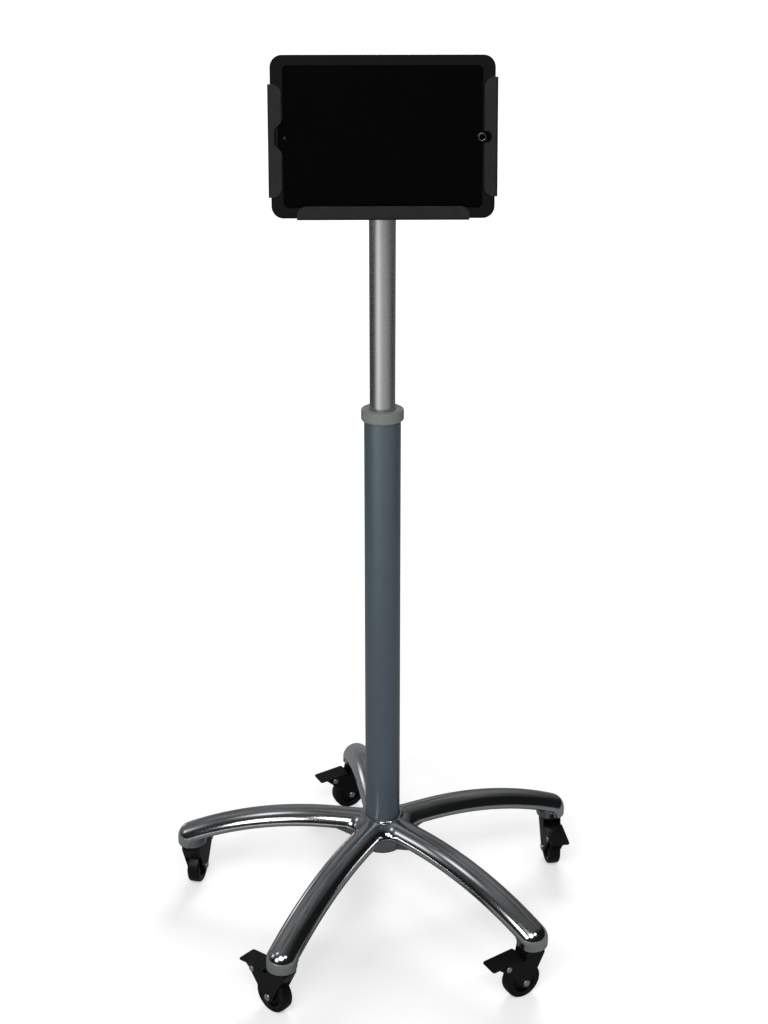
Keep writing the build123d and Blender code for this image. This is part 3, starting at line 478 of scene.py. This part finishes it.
def edge_mask(tree, width):
    """Where the surface turns sharply: 1 on an edge, 0 on a flat."""
    bevel = add_node(tree, "ShaderNodeBevel", {"Radius": width}, samples=4)
    flat = add_node(tree, "ShaderNodeNewGeometry")
    pair = {0: bevel.outputs[0], 1: flat.outputs["Normal"]}
    dot = add_node(tree, "ShaderNodeVectorMath", pair, operation="DOT_PRODUCT")
    return remap(tree, dot.outputs["Value"], 0.995, 0.86, 0.0, 1.0)


def finish(name, colour, roughness, metallic=0.0, specular=0.5, coat=0.0, coat_roughness=0.08, mottle=0.10,
           patch=22.0, grain=700.0, depth=0.00003, spread=0.07, stretch=(1.0, 1.0, 1.0), edge_wear_and_highlight=0.0,
           edge_wear_and_highlight_colour=(0.3, 0.3, 0.3, 1.0), edge_wear_and_highlight_width=0.0008, waves=0.0):
    """A procedural surface: cloudy and fine colour change, uneven gloss, fine bump and lighter edges: rubbed
    wear, and on the tray partly a painted highlight.
    """
    mat = bpy.data.materials.new(name)
    mat.use_nodes = True
    tree = mat.node_tree
    shader = tree.nodes["Principled BSDF"]
    place = add_node(tree, "ShaderNodeTexCoord").outputs["Object"]
    along = add_node(tree, "ShaderNodeMapping", {"Vector": place, "Scale": stretch}).outputs[0]
    clouds = add_node(tree, "ShaderNodeTexNoise", {"Vector": place, "Scale": patch, "Detail": 4.0}).outputs[0]
    fine = add_node(tree, "ShaderNodeTexNoise", {"Vector": along, "Scale": grain, "Detail": 3.0}).outputs[0]
    broad = math_node(tree, "MULTIPLY", clouds, CLOUD_SHARE)
    mixed = math_node(tree, "ADD", broad, math_node(tree, "MULTIPLY", fine, FINE_SHARE))
    tone = remap(tree, mixed, 0.3, 0.7, 0.0, 1.0)
    paint = mix_colour(tree, tone, shade(colour, 1 - mottle), shade(colour, 1 + mottle))
    # Lighter edges: rubbed wear on most finishes; on the tray they are partly a painted highlight along its
    # bends.
    if edge_wear_and_highlight:
        edges = edge_mask(tree, edge_wear_and_highlight_width)
        patchy = remap(tree, clouds, 0.35, 0.65, 0.35, 1.0)
        amount = math_node(tree, "MULTIPLY", math_node(tree, "MULTIPLY", edges, patchy), edge_wear_and_highlight)
        paint = mix_colour(tree, amount, paint, edge_wear_and_highlight_colour)
    tree.links.new(paint, shader.inputs["Base Color"])
    gloss = remap(tree, mixed, 0.3, 0.7, max(0.02, roughness - spread), roughness + spread)
    tree.links.new(gloss, shader.inputs["Roughness"])
    bump = add_node(tree, "ShaderNodeBump", {"Height": fine, "Distance": depth, "Strength": 1.0})
    if waves:
        ripple = {"Vector": place, "Scale": WAVE_SCALE, "Detail": 1.0}
        wave = add_node(tree, "ShaderNodeTexNoise", ripple).outputs[0]
        under = add_node(tree, "ShaderNodeBump", {"Height": wave, "Distance": waves, "Strength": 1.0})
        tree.links.new(under.outputs[0], bump.inputs["Normal"])
    tree.links.new(bump.outputs[0], shader.inputs["Normal"])
    shader.inputs["Metallic"].default_value = metallic
    shader.inputs["Specular IOR Level"].default_value = specular
    if coat:
        shader.inputs["Coat Weight"].default_value = coat
        shader.inputs["Coat Roughness"].default_value = coat_roughness
    return mat


SURFACES = {
    "base_chrome": dict(colour=(0.56, 0.57, 0.575, 1), roughness=0.13, metallic=1.0, mottle=0.06,
                        grain=300.0, depth=0.0000004, spread=0.02, waves=0.00001),
    "column_paint": dict(colour=linear(96, 109, 118), roughness=0.36, metallic=0.45, coat=0.3,
                         coat_roughness=0.12, mottle=0.06, grain=900.0, depth=0.000012, spread=0.04),
    "collar_plastic": dict(colour=linear(128, 132, 131), roughness=0.48, mottle=0.06, grain=1200.0,
                           depth=0.00003, edge_wear_and_highlight=0.25, edge_wear_and_highlight_colour=(0.35, 0.36, 0.36, 1)),
    "post_silver": dict(colour=(0.55, 0.555, 0.555, 1), roughness=0.27, metallic=1.0, mottle=0.03,
                        grain=1100.0, depth=0.0000006, spread=0.012, stretch=(1.0, 1.0, 0.35)),
    "spring_steel": dict(colour=(0.46, 0.47, 0.48, 1), roughness=0.25, metallic=1.0, mottle=0.06,
                         stretch=(1.0, 1.0, 0.05), depth=0.00001),
    "bush_plastic": dict(colour=linear(112, 112, 110), roughness=0.5, mottle=0.05),
    "head_paint": dict(colour=linear(30, 30, 32), roughness=0.42, mottle=0.15, grain=1400.0, depth=0.00004,
                       edge_wear_and_highlight=0.45, edge_wear_and_highlight_colour=(0.32, 0.32, 0.33, 1.0), edge_wear_and_highlight_width=0.0006),
    "grip_plastic": dict(colour=linear(26, 26, 28), roughness=0.5, mottle=0.15, grain=2200.0,
                         depth=0.00005),
    # The tray's lighter edges are partly a painted highlight where its bent lips catch light, not only wear.
    "tray_coat": dict(colour=linear(31, 32, 34), roughness=0.62, specular=0.2, mottle=0.4, patch=60.0,
                      grain=620.0, depth=0.0002, spread=0.08, edge_wear_and_highlight=0.5, edge_wear_and_highlight_colour=(0.1, 0.1, 0.105, 1),
                      edge_wear_and_highlight_width=0.001),
    "case_plastic": dict(colour=linear(13, 13, 15), roughness=0.65, specular=0.1, mottle=0.12, grain=1800.0,
                         depth=0.00003),
    "tablet_metal": dict(colour=(0.45, 0.45, 0.47, 1), roughness=0.4, metallic=1.0, depth=0.00001),
    "screen_glass": dict(colour=(0.0022, 0.0022, 0.0025, 1), roughness=0.05, specular=0.35, mottle=0.1,
                         patch=9.0, grain=60.0, depth=0.0000005, spread=0.02),
    "panel_dark": dict(colour=(0.006, 0.006, 0.008, 1), roughness=0.4),
    "button_gloss": dict(colour=(0.002, 0.002, 0.0023, 1), roughness=0.06, specular=0.3, depth=0.0000005,
                         spread=0.02),
    "caster_paint": dict(colour=linear(9, 9, 10), roughness=0.36, specular=0.3, mottle=0.2, grain=1500.0,
                         depth=0.00004, edge_wear_and_highlight=0.4, edge_wear_and_highlight_colour=(0.12, 0.12, 0.13, 1), edge_wear_and_highlight_width=0.0005),
    "wheel_plastic": dict(colour=linear(10, 10, 11), roughness=0.34, specular=0.4, mottle=0.15,
                          grain=1500.0, depth=0.00003),
    "tyre_rubber": dict(colour=linear(11, 11, 12), roughness=0.42, specular=0.3, mottle=0.18, grain=1800.0,
                        depth=0.00004),
    "bezel_metal": dict(colour=(0.42, 0.42, 0.43, 1), roughness=0.14, metallic=1.0, depth=0.000002),
    "zinc_steel": dict(colour=(0.62, 0.62, 0.63, 1), roughness=0.28, metallic=1.0, mottle=0.1, grain=1500.0,
                       depth=0.00001),
}


def make_materials():
    return {name: finish(name, **settings) for name, settings in SURFACES.items()}


# Stage
CAMERA_PLACE = (-0.0293, -1.9682, 1.3546)
CAMERA_PITCH = 21.135
CAMERA_YAW = 0.908
CAMERA_LENS = 57.63

# Strengths without a unit, and lengths in metres
AMBIENT = 0.15
FLOOR_HALF = 30.0
FLAG_RADIUS = 7.0
CARD_HALF = 6.0
CARD_LIFT = 0.0004
CARD_FRONT = 0.42
CARD_LEFT = 0.75
CARD_BACK = 0.15
CARD_LEAST = 0.03


def make_camera():
    data = bpy.data.cameras.new("camera")
    data.lens = CAMERA_LENS
    data.sensor_width = 36.0
    data.clip_end = 60.0
    camera = bpy.data.objects.new("camera", data)
    camera.location = CAMERA_PLACE
    camera.rotation_euler = Euler((math.radians(90 - CAMERA_PITCH), 0, math.radians(-CAMERA_YAW)))
    bpy.context.scene.collection.objects.link(camera)
    bpy.context.scene.camera = camera


def seen(tree):
    """1 for camera, glossy and transmission rays, 0 for the diffuse rays that light things."""
    path = add_node(tree, "ShaderNodeLightPath")
    total = math_node(tree, "ADD", path.outputs["Is Camera Ray"], path.outputs["Is Glossy Ray"])
    total = math_node(tree, "ADD", total, path.outputs["Is Transmission Ray"])
    return math_node(tree, "MINIMUM", total, 1.0)


def make_world(ambient):
    world = bpy.data.worlds.new("studio")
    bpy.context.scene.world = world
    world.use_nodes = True
    tree = world.node_tree
    back = tree.nodes["Background"]
    back.inputs[0].default_value = (1.0, 1.0, 1.0, 1.0)
    tree.links.new(remap(tree, seen(tree), 0.0, 1.0, ambient, 1.0), back.inputs[1])


def square(half, height):
    """The corners of a level square round the stand."""
    return [(-half, -half, height), (half, -half, height), (half, half, height), (-half, half, height)]


def make_floor():
    """A pale floor that runs out to plain white and keeps the stand's shadow."""
    mesh = bpy.data.meshes.new("floor")
    mesh.from_pydata(square(FLOOR_HALF, 0), [], [(0, 1, 2, 3)])
    mat = bpy.data.materials.new("floor_paper")
    mat.use_nodes = True
    tree = mat.node_tree
    out = tree.nodes["Material Output"]
    tree.nodes.remove(tree.nodes["Principled BSDF"])
    place = add_node(tree, "ShaderNodeTexCoord").outputs["Object"]
    far = add_node(tree, "ShaderNodeVectorMath", {0: place}, operation="LENGTH").outputs["Value"]
    lift = remap(tree, far, 0.7, 2.4, 0.45, 1.0)
    grain = add_node(tree, "ShaderNodeTexNoise", {"Vector": place, "Scale": 60.0, "Detail": 3.0}).outputs[0]
    paper = mix_colour(tree, grain, (0.80, 0.80, 0.80, 1), (0.84, 0.84, 0.84, 1))
    diffuse = add_node(tree, "ShaderNodeBsdfDiffuse", {"Color": paper})
    glow = add_node(tree, "ShaderNodeEmission", {"Strength": math_node(tree, "MULTIPLY", lift, seen(tree))})
    both = add_node(tree, "ShaderNodeAddShader", {0: diffuse.outputs[0], 1: glow.outputs[0]})
    tree.links.new(both.outputs[0], out.inputs[0])
    mesh.materials.append(mat)
    floor = bpy.data.objects.new("floor", mesh)
    bpy.context.scene.collection.objects.link(floor)


def unseen_by(piece, *kinds):
    for kind in kinds:
        setattr(piece, "visible_" + kind, False)


def stage_sheet(name, mesh, shader_maker):
    """A glowing stage piece that only glossy rays meet, so it shows in every material's reflections."""
    mat = bpy.data.materials.new(name + "_painted_reflection")
    mat.use_nodes = True
    tree = mat.node_tree
    tree.nodes.remove(tree.nodes["Principled BSDF"])
    place = add_node(tree, "ShaderNodeTexCoord").outputs["Object"]
    glow = add_node(tree, "ShaderNodeEmission", {"Color": shader_maker(tree, place), "Strength": 1.0})
    tree.links.new(glow.outputs[0], tree.nodes["Material Output"].inputs[0])
    mesh.materials.append(mat)
    piece = bpy.data.objects.new(name, mesh)
    bpy.context.scene.collection.objects.link(piece)
    unseen_by(piece, "camera", "diffuse", "transmission", "shadow", "volume_scatter")


def towards(tree, place, direction):
    """How far a place lies towards a direction from the middle of the stage, 1 straight towards it."""
    unit = add_node(tree, "ShaderNodeVectorMath", {0: place}, operation="NORMALIZE").outputs[0]
    pair = {0: unit, 1: Vector(direction).normalized()}
    dot = add_node(tree, "ShaderNodeVectorMath", pair, operation="DOT_PRODUCT")
    return math_node(tree, "MAXIMUM", dot.outputs["Value"], 0.0)


# Colours of the painted reflections: dark and grey cloth, the floor card's grey and painted shadow, and the
# bright glows.
FLAG_DARK = (0.012, 0.0125, 0.013, 1)
FLAG_GREY = (0.25, 0.255, 0.26, 1)
CARD_GREY = (0.235, 0.245, 0.25, 1)
CARD_PAINTED_SHADOW = (0.035, 0.037, 0.039, 1)
GAP_LIGHT = (2.2, 2.25, 2.3, 1)

# Gaps in the cloth that let light through: direction from the middle of the stage, narrowness, share of light
GAPS = (
    ((-0.86, -0.03, 0.51), 160.0, 0.9),
    ((-0.5, -0.07, 0.86), 160.0, 0.9),
    ((-0.53, 0.84, 0.09), 260.0, 0.9),
)


def flag_colour(tree, place):
    """Painted reflection of the room: grey cloth overhead and behind, more to the left, and dark cloth in
    front, with the bright gaps as painted highlights.
    """
    high = remap(tree, towards(tree, place, (-0.3, 0.62, 0.72)), 0.28, 0.78, 0.0, 1.0)
    folds = add_node(tree, "ShaderNodeTexNoise", {"Vector": place, "Scale": 0.55, "Detail": 2.0}).outputs[0]
    folds = remap(tree, folds, 0.36, 0.62, 0.35, 1.0)
    colour = mix_colour(tree, math_node(tree, "MULTIPLY", high, folds), FLAG_DARK, FLAG_GREY)
    for direction, narrowness, share in GAPS:
        gap = math_node(tree, "POWER", towards(tree, place, direction), narrowness)
        colour = mix_colour(tree, math_node(tree, "MULTIPLY", gap, share), colour, GAP_LIGHT)
    return colour


def card_colour(tree, place):
    """Painted reflection of the floor: grey round the stand, with a painted shadow under it, and painted
    light far out in front, most of all to the left.
    """
    far = add_node(tree, "ShaderNodeVectorMath", {0: place}, operation="LENGTH").outputs["Value"]
    # Painted shadow of the stand: darker under it in the floor's reflection.
    under = mix_colour(tree, remap(tree, far, 0.06, 0.42, 0.0, 1.0), CARD_PAINTED_SHADOW, CARD_GREY)
    front = math_node(tree, "POWER", towards(tree, place, (0.12, -1.0, 0.0)), 1.6)
    left = math_node(tree, "POWER", towards(tree, place, (-0.62, -0.78, 0.0)), 10.0)
    light = math_node(tree, "MULTIPLY", front, CARD_FRONT)
    light = math_node(tree, "ADD", light, math_node(tree, "MULTIPLY", left, CARD_LEFT))
    back = math_node(tree, "POWER", towards(tree, place, (0.2, 1.0, 0.0)), 2.0)
    light = math_node(tree, "ADD", light, math_node(tree, "MULTIPLY", back, CARD_BACK))
    light = math_node(tree, "ADD", light, CARD_LEAST)
    white = mix_colour(tree, math_node(tree, "MINIMUM", light, 1.0), (0.0, 0.0, 0.0, 1), (1.3, 1.3, 1.3, 1))
    return mix_colour(tree, remap(tree, far, 1.1, 2.4, 0.0, 1.0), under, white)


def make_flags():
    """Painted reflections: glowing cloth hung round the set and laid on the floor, seen only in reflections.
    """
    bm = bmesh.new()
    bmesh.ops.create_uvsphere(bm, u_segments=48, v_segments=24, radius=FLAG_RADIUS)
    mesh = bpy.data.meshes.new("flags")
    bm.to_mesh(mesh)
    bm.free()
    stage_sheet("flags", mesh, flag_colour)
    card = bpy.data.meshes.new("floor_card")
    card.from_pydata(square(CARD_HALF, CARD_LIFT), [], [(0, 1, 2, 3)])
    stage_sheet("floor_card", card, card_colour)


def make_lamp(name, place, aim, size, power, glossy=True):
    data = bpy.data.lights.new(name, "AREA")
    data.shape = "ELLIPSE"
    data.size, data.size_y = size
    data.energy = power
    lamp = bpy.data.objects.new(name, data)
    lamp.location = place
    lamp.rotation_euler = (Vector(aim) - Vector(place)).to_track_quat("-Z", "Y").to_euler()
    lamp.visible_glossy = glossy
    bpy.context.scene.collection.objects.link(lamp)


def make_stage():
    make_camera()
    make_world(AMBIENT)
    make_floor()
    make_flags()
    make_lamp("key_box", (-0.5, -3.0, 3.1), (0, 0, 0.55), (2.2, 1.8), 62.0)
    make_lamp("left_box", (-2.0, -2.4, 1.7), (0, 0, 0.2), (1.1, 1.1), 16.0)
    make_lamp("right_box", (1.5, -2.2, 3.2), (0, 0, 0.4), (1.3, 1.1), 12.0)
    make_lamp("back_fill", (0.5, 2.8, 2.8), (0, 0, 0.6), (1.8, 1.8), 60.0, glossy=False)
    bpy.context.scene.view_settings.view_transform = "Standard"


# Pieces
def make_base(mats):
    step = FINE_STEP
    reach = STEM_CIRCLE + ARM_HALF + FIELD_MARGIN
    low = (-reach, -reach, BOSS_BOTTOM - FIELD_MARGIN)
    high = (reach, reach, CREST_Z + FIELD_HEADROOM)
    points, quads = surface_net(star_distance, low, high, step)
    normals = slope(star_distance, points, NORMAL_REACH)
    mesh_object("base_casting", points, quads, mats["base_chrome"], "base", "star_base",
                normals=normals)


def around_axle(points):
    """From a shape turned about Z to the wheel's place in its caster, in the caster's own axes."""
    return np.stack([AXLE_U + points[:, 0], points[:, 2], AXLE_Z + points[:, 1]], 1)


def in_caster(index, points):
    """From a caster's own axes, along its trail and up, to its arm's end."""
    stem = FIRST_ARM + index * 2 * math.pi / ARMS
    trail = math.radians(TRAILS[index])
    cos, sin = math.cos(trail), math.sin(trail)
    x = STEM_CIRCLE * math.cos(stem) + points[:, 0] * cos - points[:, 1] * sin
    y = STEM_CIRCLE * math.sin(stem) + points[:, 0] * sin + points[:, 1] * cos
    return np.stack([x, y, points[:, 2]], 1)


def both_sides(half_outline):
    """A closed outline from the half of it above the middle, given from the bore outwards."""
    return half_outline + [(r, -h) for r, h in reversed(half_outline)]


def block(low, high):
    """The corners and faces of a box between two corners."""
    points = [(x, y, z) for x in (low[0], high[0]) for y in (low[1], high[1]) for z in (low[2], high[2])]
    faces = [(0, 1, 3, 2), (4, 6, 7, 5), (0, 4, 5, 1), (2, 3, 7, 6), (0, 2, 6, 4), (1, 5, 7, 3)]
    return np.array(points, float), faces


def joined(shapes):
    points, faces = [], []
    for p, f in shapes:
        start = sum(len(q) for q in points)
        points.append(np.asarray(p, float))
        faces += [tuple(i + start for i in face) for face in f]
    return np.concatenate(points), faces


def wheel_shape():
    """A moulded wheel: hub tube, raised ring on the web, spokes and a lipped rim."""
    half = [(4.15, 10.9), (6.0, 10.9), (6.5, 10.4), (6.5, 3.6), (7.0, 3.0), (8.9, 2.9), (9.3, 5.2),
            (10.6, 5.2), (11.0, 2.7), (14.6, 2.5), (15.4, 3.3), (16.0, 7.7), (16.6, 8.2), (18.9, 8.2)]
    outline = rounded(both_sides(half), [0] + [0.5] * (2 * len(half) - 2) + [0], 3)
    shapes = [lathe(outline, 72)]
    for k in range(SPOKES):
        turn = k * 2 * math.pi / SPOKES
        for side in (-1, 1):
            low, high = sorted((side * 2.2, side * 4.6))
            points, faces = block((10.8, -0.7, low), (15.9, 0.7, high))
            cos, sin = math.cos(turn), math.sin(turn)
            x, y = points[:, 0] * cos - points[:, 1] * sin, points[:, 0] * sin + points[:, 1] * cos
            shapes.append((np.stack([x, y, points[:, 2]], 1), faces))
    return joined(shapes)


def tyre_shape():
    """A crowned rubber tyre with a moulded line round each wall."""
    half = [(19.05, 8.3), (21.2, 8.3), (21.4, 7.9), (21.9, 7.9), (22.1, 8.3), (23.3, 8.1), (24.5, 7.0),
            (24.85, 4.2), (25.0, 0.6)]
    return lathe(rounded(both_sides(half), [0] + [0.6] * (2 * len(half) - 2) + [0], 3), 96)


def race_shape():
    """The ball race between the fork's plate and the arm's boss."""
    outline = rounded([(9.5, 70.42), (12.6, 70.42), (12.6, 71.9), (9.5, 71.9)], 0.5, 3)
    return lathe(outline, 48)


def bridge_shape():
    """The bent front of the stamped fork, from cheek to cheek ahead of the wheel."""
    front = [(-12.0, 68.6), (-12.0, 62.9), (-3.7, 46.2)]
    back = [(-2.2, 46.9), (-10.3, 63.2), (-10.3, 68.6)]
    outline = rounded(front + back, [0, 3.0, 0.6, 0.6, 2.0, 0], 4)
    half = 11.4
    n = len(outline)
    points = [(u, v, z) for v in (-half, half) for u, z in outline]
    faces = [tuple(range(n)), tuple(range(2 * n - 1, n - 1, -1))]
    faces += [(k, k + n, (k + 1) % n + n, (k + 1) % n) for k in range(n)]
    return np.array(points), faces


def make_casters(mats):
    bridge_points, bridge_faces = bridge_shape()
    wheel_points, wheel_faces = wheel_shape()
    tyre_points, tyre_faces = tyre_shape()
    race_points, race_faces = race_shape()
    for index, name in enumerate(CASTERS):
        points = in_caster(index, around_axle(wheel_points))
        mesh_object(f"spoked_wheel_{name}", points, wheel_faces, mats["wheel_plastic"], f"roller_{name}",
                    f"wheel_{name}")
        points = in_caster(index, around_axle(tyre_points))
        mesh_object(f"crowned_tyre_{name}", points, tyre_faces, mats["tyre_rubber"], f"roller_{name}",
                    f"tyre_{name}")
        points = in_caster(index, race_points)
        mesh_object(f"ball_race_{name}", points, race_faces, mats["zinc_steel"], f"swivel_{name}")
        points = in_caster(index, bridge_points)
        mesh_object(f"fork_bridge_{name}", points, bridge_faces, mats["caster_paint"], f"swivel_{name}",
                    smooth=False)
        for form in ("fork", "pedal"):
            soften(f"{form}_{name}", mats["caster_paint"], CASTER_EDGE)


def on_tablet(points, node):
    """From a shape turned about Z to a CAD node's middle, facing out of the tablet."""
    low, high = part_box(node)
    middle = np.array((low + high) / 2) / MM
    up = np.array([0, math.sin(RECLINE), math.cos(RECLINE)])
    out = np.array([0, -math.cos(RECLINE), math.sin(RECLINE)])
    return middle + points[:, :1] * np.array([1.0, 0, 0]) + points[:, 1:2] * up + points[:, 2:3] * out


def lathe_depth(node):
    """A turned node's height along the tablet's own axis, and its radius."""
    low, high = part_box(node)
    size = (high - low) / MM
    radius = size.x / 2
    return (size.y - 2 * radius * math.sin(RECLINE)) / math.cos(RECLINE), radius


def make_tablet_trim(mats):
    """The lens bezel with its rounded lip, and the home button with its shallow dish and central dimple."""
    deep, radius = lathe_depth("lens_ring")
    half = deep / 2
    ring = [(RING_BORE, -half), (radius, -half), (radius, half), (RING_BORE, half)]
    points, faces = lathe(rounded(ring, [RING_FOOT, RING_FOOT, RING_LIP, RING_LIP], 4), 64)
    mesh_object("lens_bezel", on_tablet(points, "lens_ring"), faces, mats["bezel_metal"], "tablet",
                "lens_ring")
    deep, radius = lathe_depth("home_button")
    half = deep / 2
    dish = [(KEY_CORE, -half), (radius, -half), (radius, half - KEY_EDGE), (radius - KEY_EDGE, half)]
    rings = [radius * k / 6 for k in (5, 4, 3, 2)] + [DIMPLE_R * k / 5 for k in (5, 4, 3, 2, 1)] + [KEY_CORE]
    for r in rings:
        sunk = DISH_DEPTH * (1 - (r / radius) ** 2) + DIMPLE_DEPTH * max(0.0, 1 - (r / DIMPLE_R) ** 2)
        dish.append((r, half - sunk))
    points, faces = lathe(dish, 64)
    mesh_object("home_dish", on_tablet(points, "home_button"), faces, mats["button_gloss"], "home_key",
                "home_button")


def lobes(shrink):
    """The knob's outline by angle: a circle with six finger dips, drawn in by shrink."""
    def radius(a):
        turn = (a + math.pi / 6) % (math.pi / 3) - math.pi / 6
        inside = np.maximum(DIP_R ** 2 - (DIP_PLACE * np.sin(turn)) ** 2, 0)
        dip = np.where(inside > 0, DIP_PLACE * np.cos(turn) - np.sqrt(inside), DIP_PLACE)
        return smooth_min(np.full_like(a, KNOB_R), dip, DIP_BLEND) - shrink
    return radius


def make_head_hardware(mats):
    """The lobed hand knob, the tilt bolt with its hexagon socket, and the two grub screws."""
    rings = [(BOLT_R + 0.07, 10.8), (BOLT_R + 0.07, 0), (7.6, 0), (8.0, 0.4), (8.0, 3.6), (lobes(2.2), 4.0),
             (lobes(0.6), 4.5), (lobes(0), 5.6), (lobes(0), 12.6), (lobes(0.3), 13.9), (lobes(1.0), 14.7),
             (lobes(2.2), 15.0), (9.6, 15.0), (9.1, 14.7), (8.9, 14.0), (5.4, 14.0), (5.1, 14.4), (4.6, 14.6)]
    points, faces = turned(rings, 180)
    points = np.stack([EAR_OUTER + 0.3 + points[:, 2], points[:, 0], HEAD_Z + points[:, 1]], 1)
    mesh_object("hand_knob", points, faces, mats["grip_plastic"], "knob", "tilt_knob")

    head = EAR_OUTER + 4.0
    rings = [(BOLT_R - 0.6, -EAR_OUTER - 10.5), (BOLT_R, -EAR_OUTER - 9.9), (BOLT_R, EAR_OUTER),
             (8.0, EAR_OUTER), (8.0, head - 1.5), (7.8, head - 0.75), (7.25, head - 0.2), (6.5, head),
             (hexagon(6.3), head), (hexagon(6.0), head - 0.3), (hexagon(6.0), head - 3.0)]
    points, faces = turned(rings, 72)
    points = np.stack([-points[:, 2], points[:, 0], HEAD_Z + points[:, 1]], 1)
    mesh_object("socket_bolt", points, faces, mats["zinc_steel"], "post", "tilt_bolt")

    rings = [(2.2, 16.45), (2.5, 16.8), (2.5, 19.4), (2.25, 19.66), (hexagon(2.6), 19.66),
             (hexagon(2.4), 19.5), (hexagon(2.4), 17.9)]
    points, faces = turned(rings, 48)
    screws = []
    for bearing in (60, 120):
        cos, sin = math.cos(math.radians(bearing)), math.sin(math.radians(bearing))
        along, across, up = points[:, 2], points[:, 0], points[:, 1]
        x, y = along * cos - across * sin, along * sin + across * cos
        screws.append((np.stack([x, y, GRUB_Z + up], 1), faces))
    points, faces = joined(screws)
    mesh_object("grub_screws", points, faces, mats["zinc_steel"], "post", "socket_screws")


def make_softened(mats):
    """Pressed and machined parts whose sharp CAD edges are broken as a real one's are."""
    widths = {
        "head_socket": 0.5, "tilt_knuckle": 0.5, "rotor_plate": 0.5, "tray": 0.45, "release_lever": 0.5,
        "tablet_case": 0.9, "column_collar": 0.6, "friction_disc": 0.3, "column_foot": 0.5,
    }
    for name, width in widths.items():
        soften(name, mats[SLOTS[name]], width)


def dress_nodes(mats):
    slots = {s["node"]: s["material_slot"] for s in frame["record"]["subparts"]}
    for name, piece in NODES.items():
        piece.data.materials.clear()
        piece.data.materials.append(mats[slots[name]])
    return slots


MATERIALS = make_materials()
SLOTS = dress_nodes(MATERIALS)
make_stage()
make_base(MATERIALS)
make_casters(MATERIALS)
make_softened(MATERIALS)
make_tablet_trim(MATERIALS)
make_head_hardware(MATERIALS)
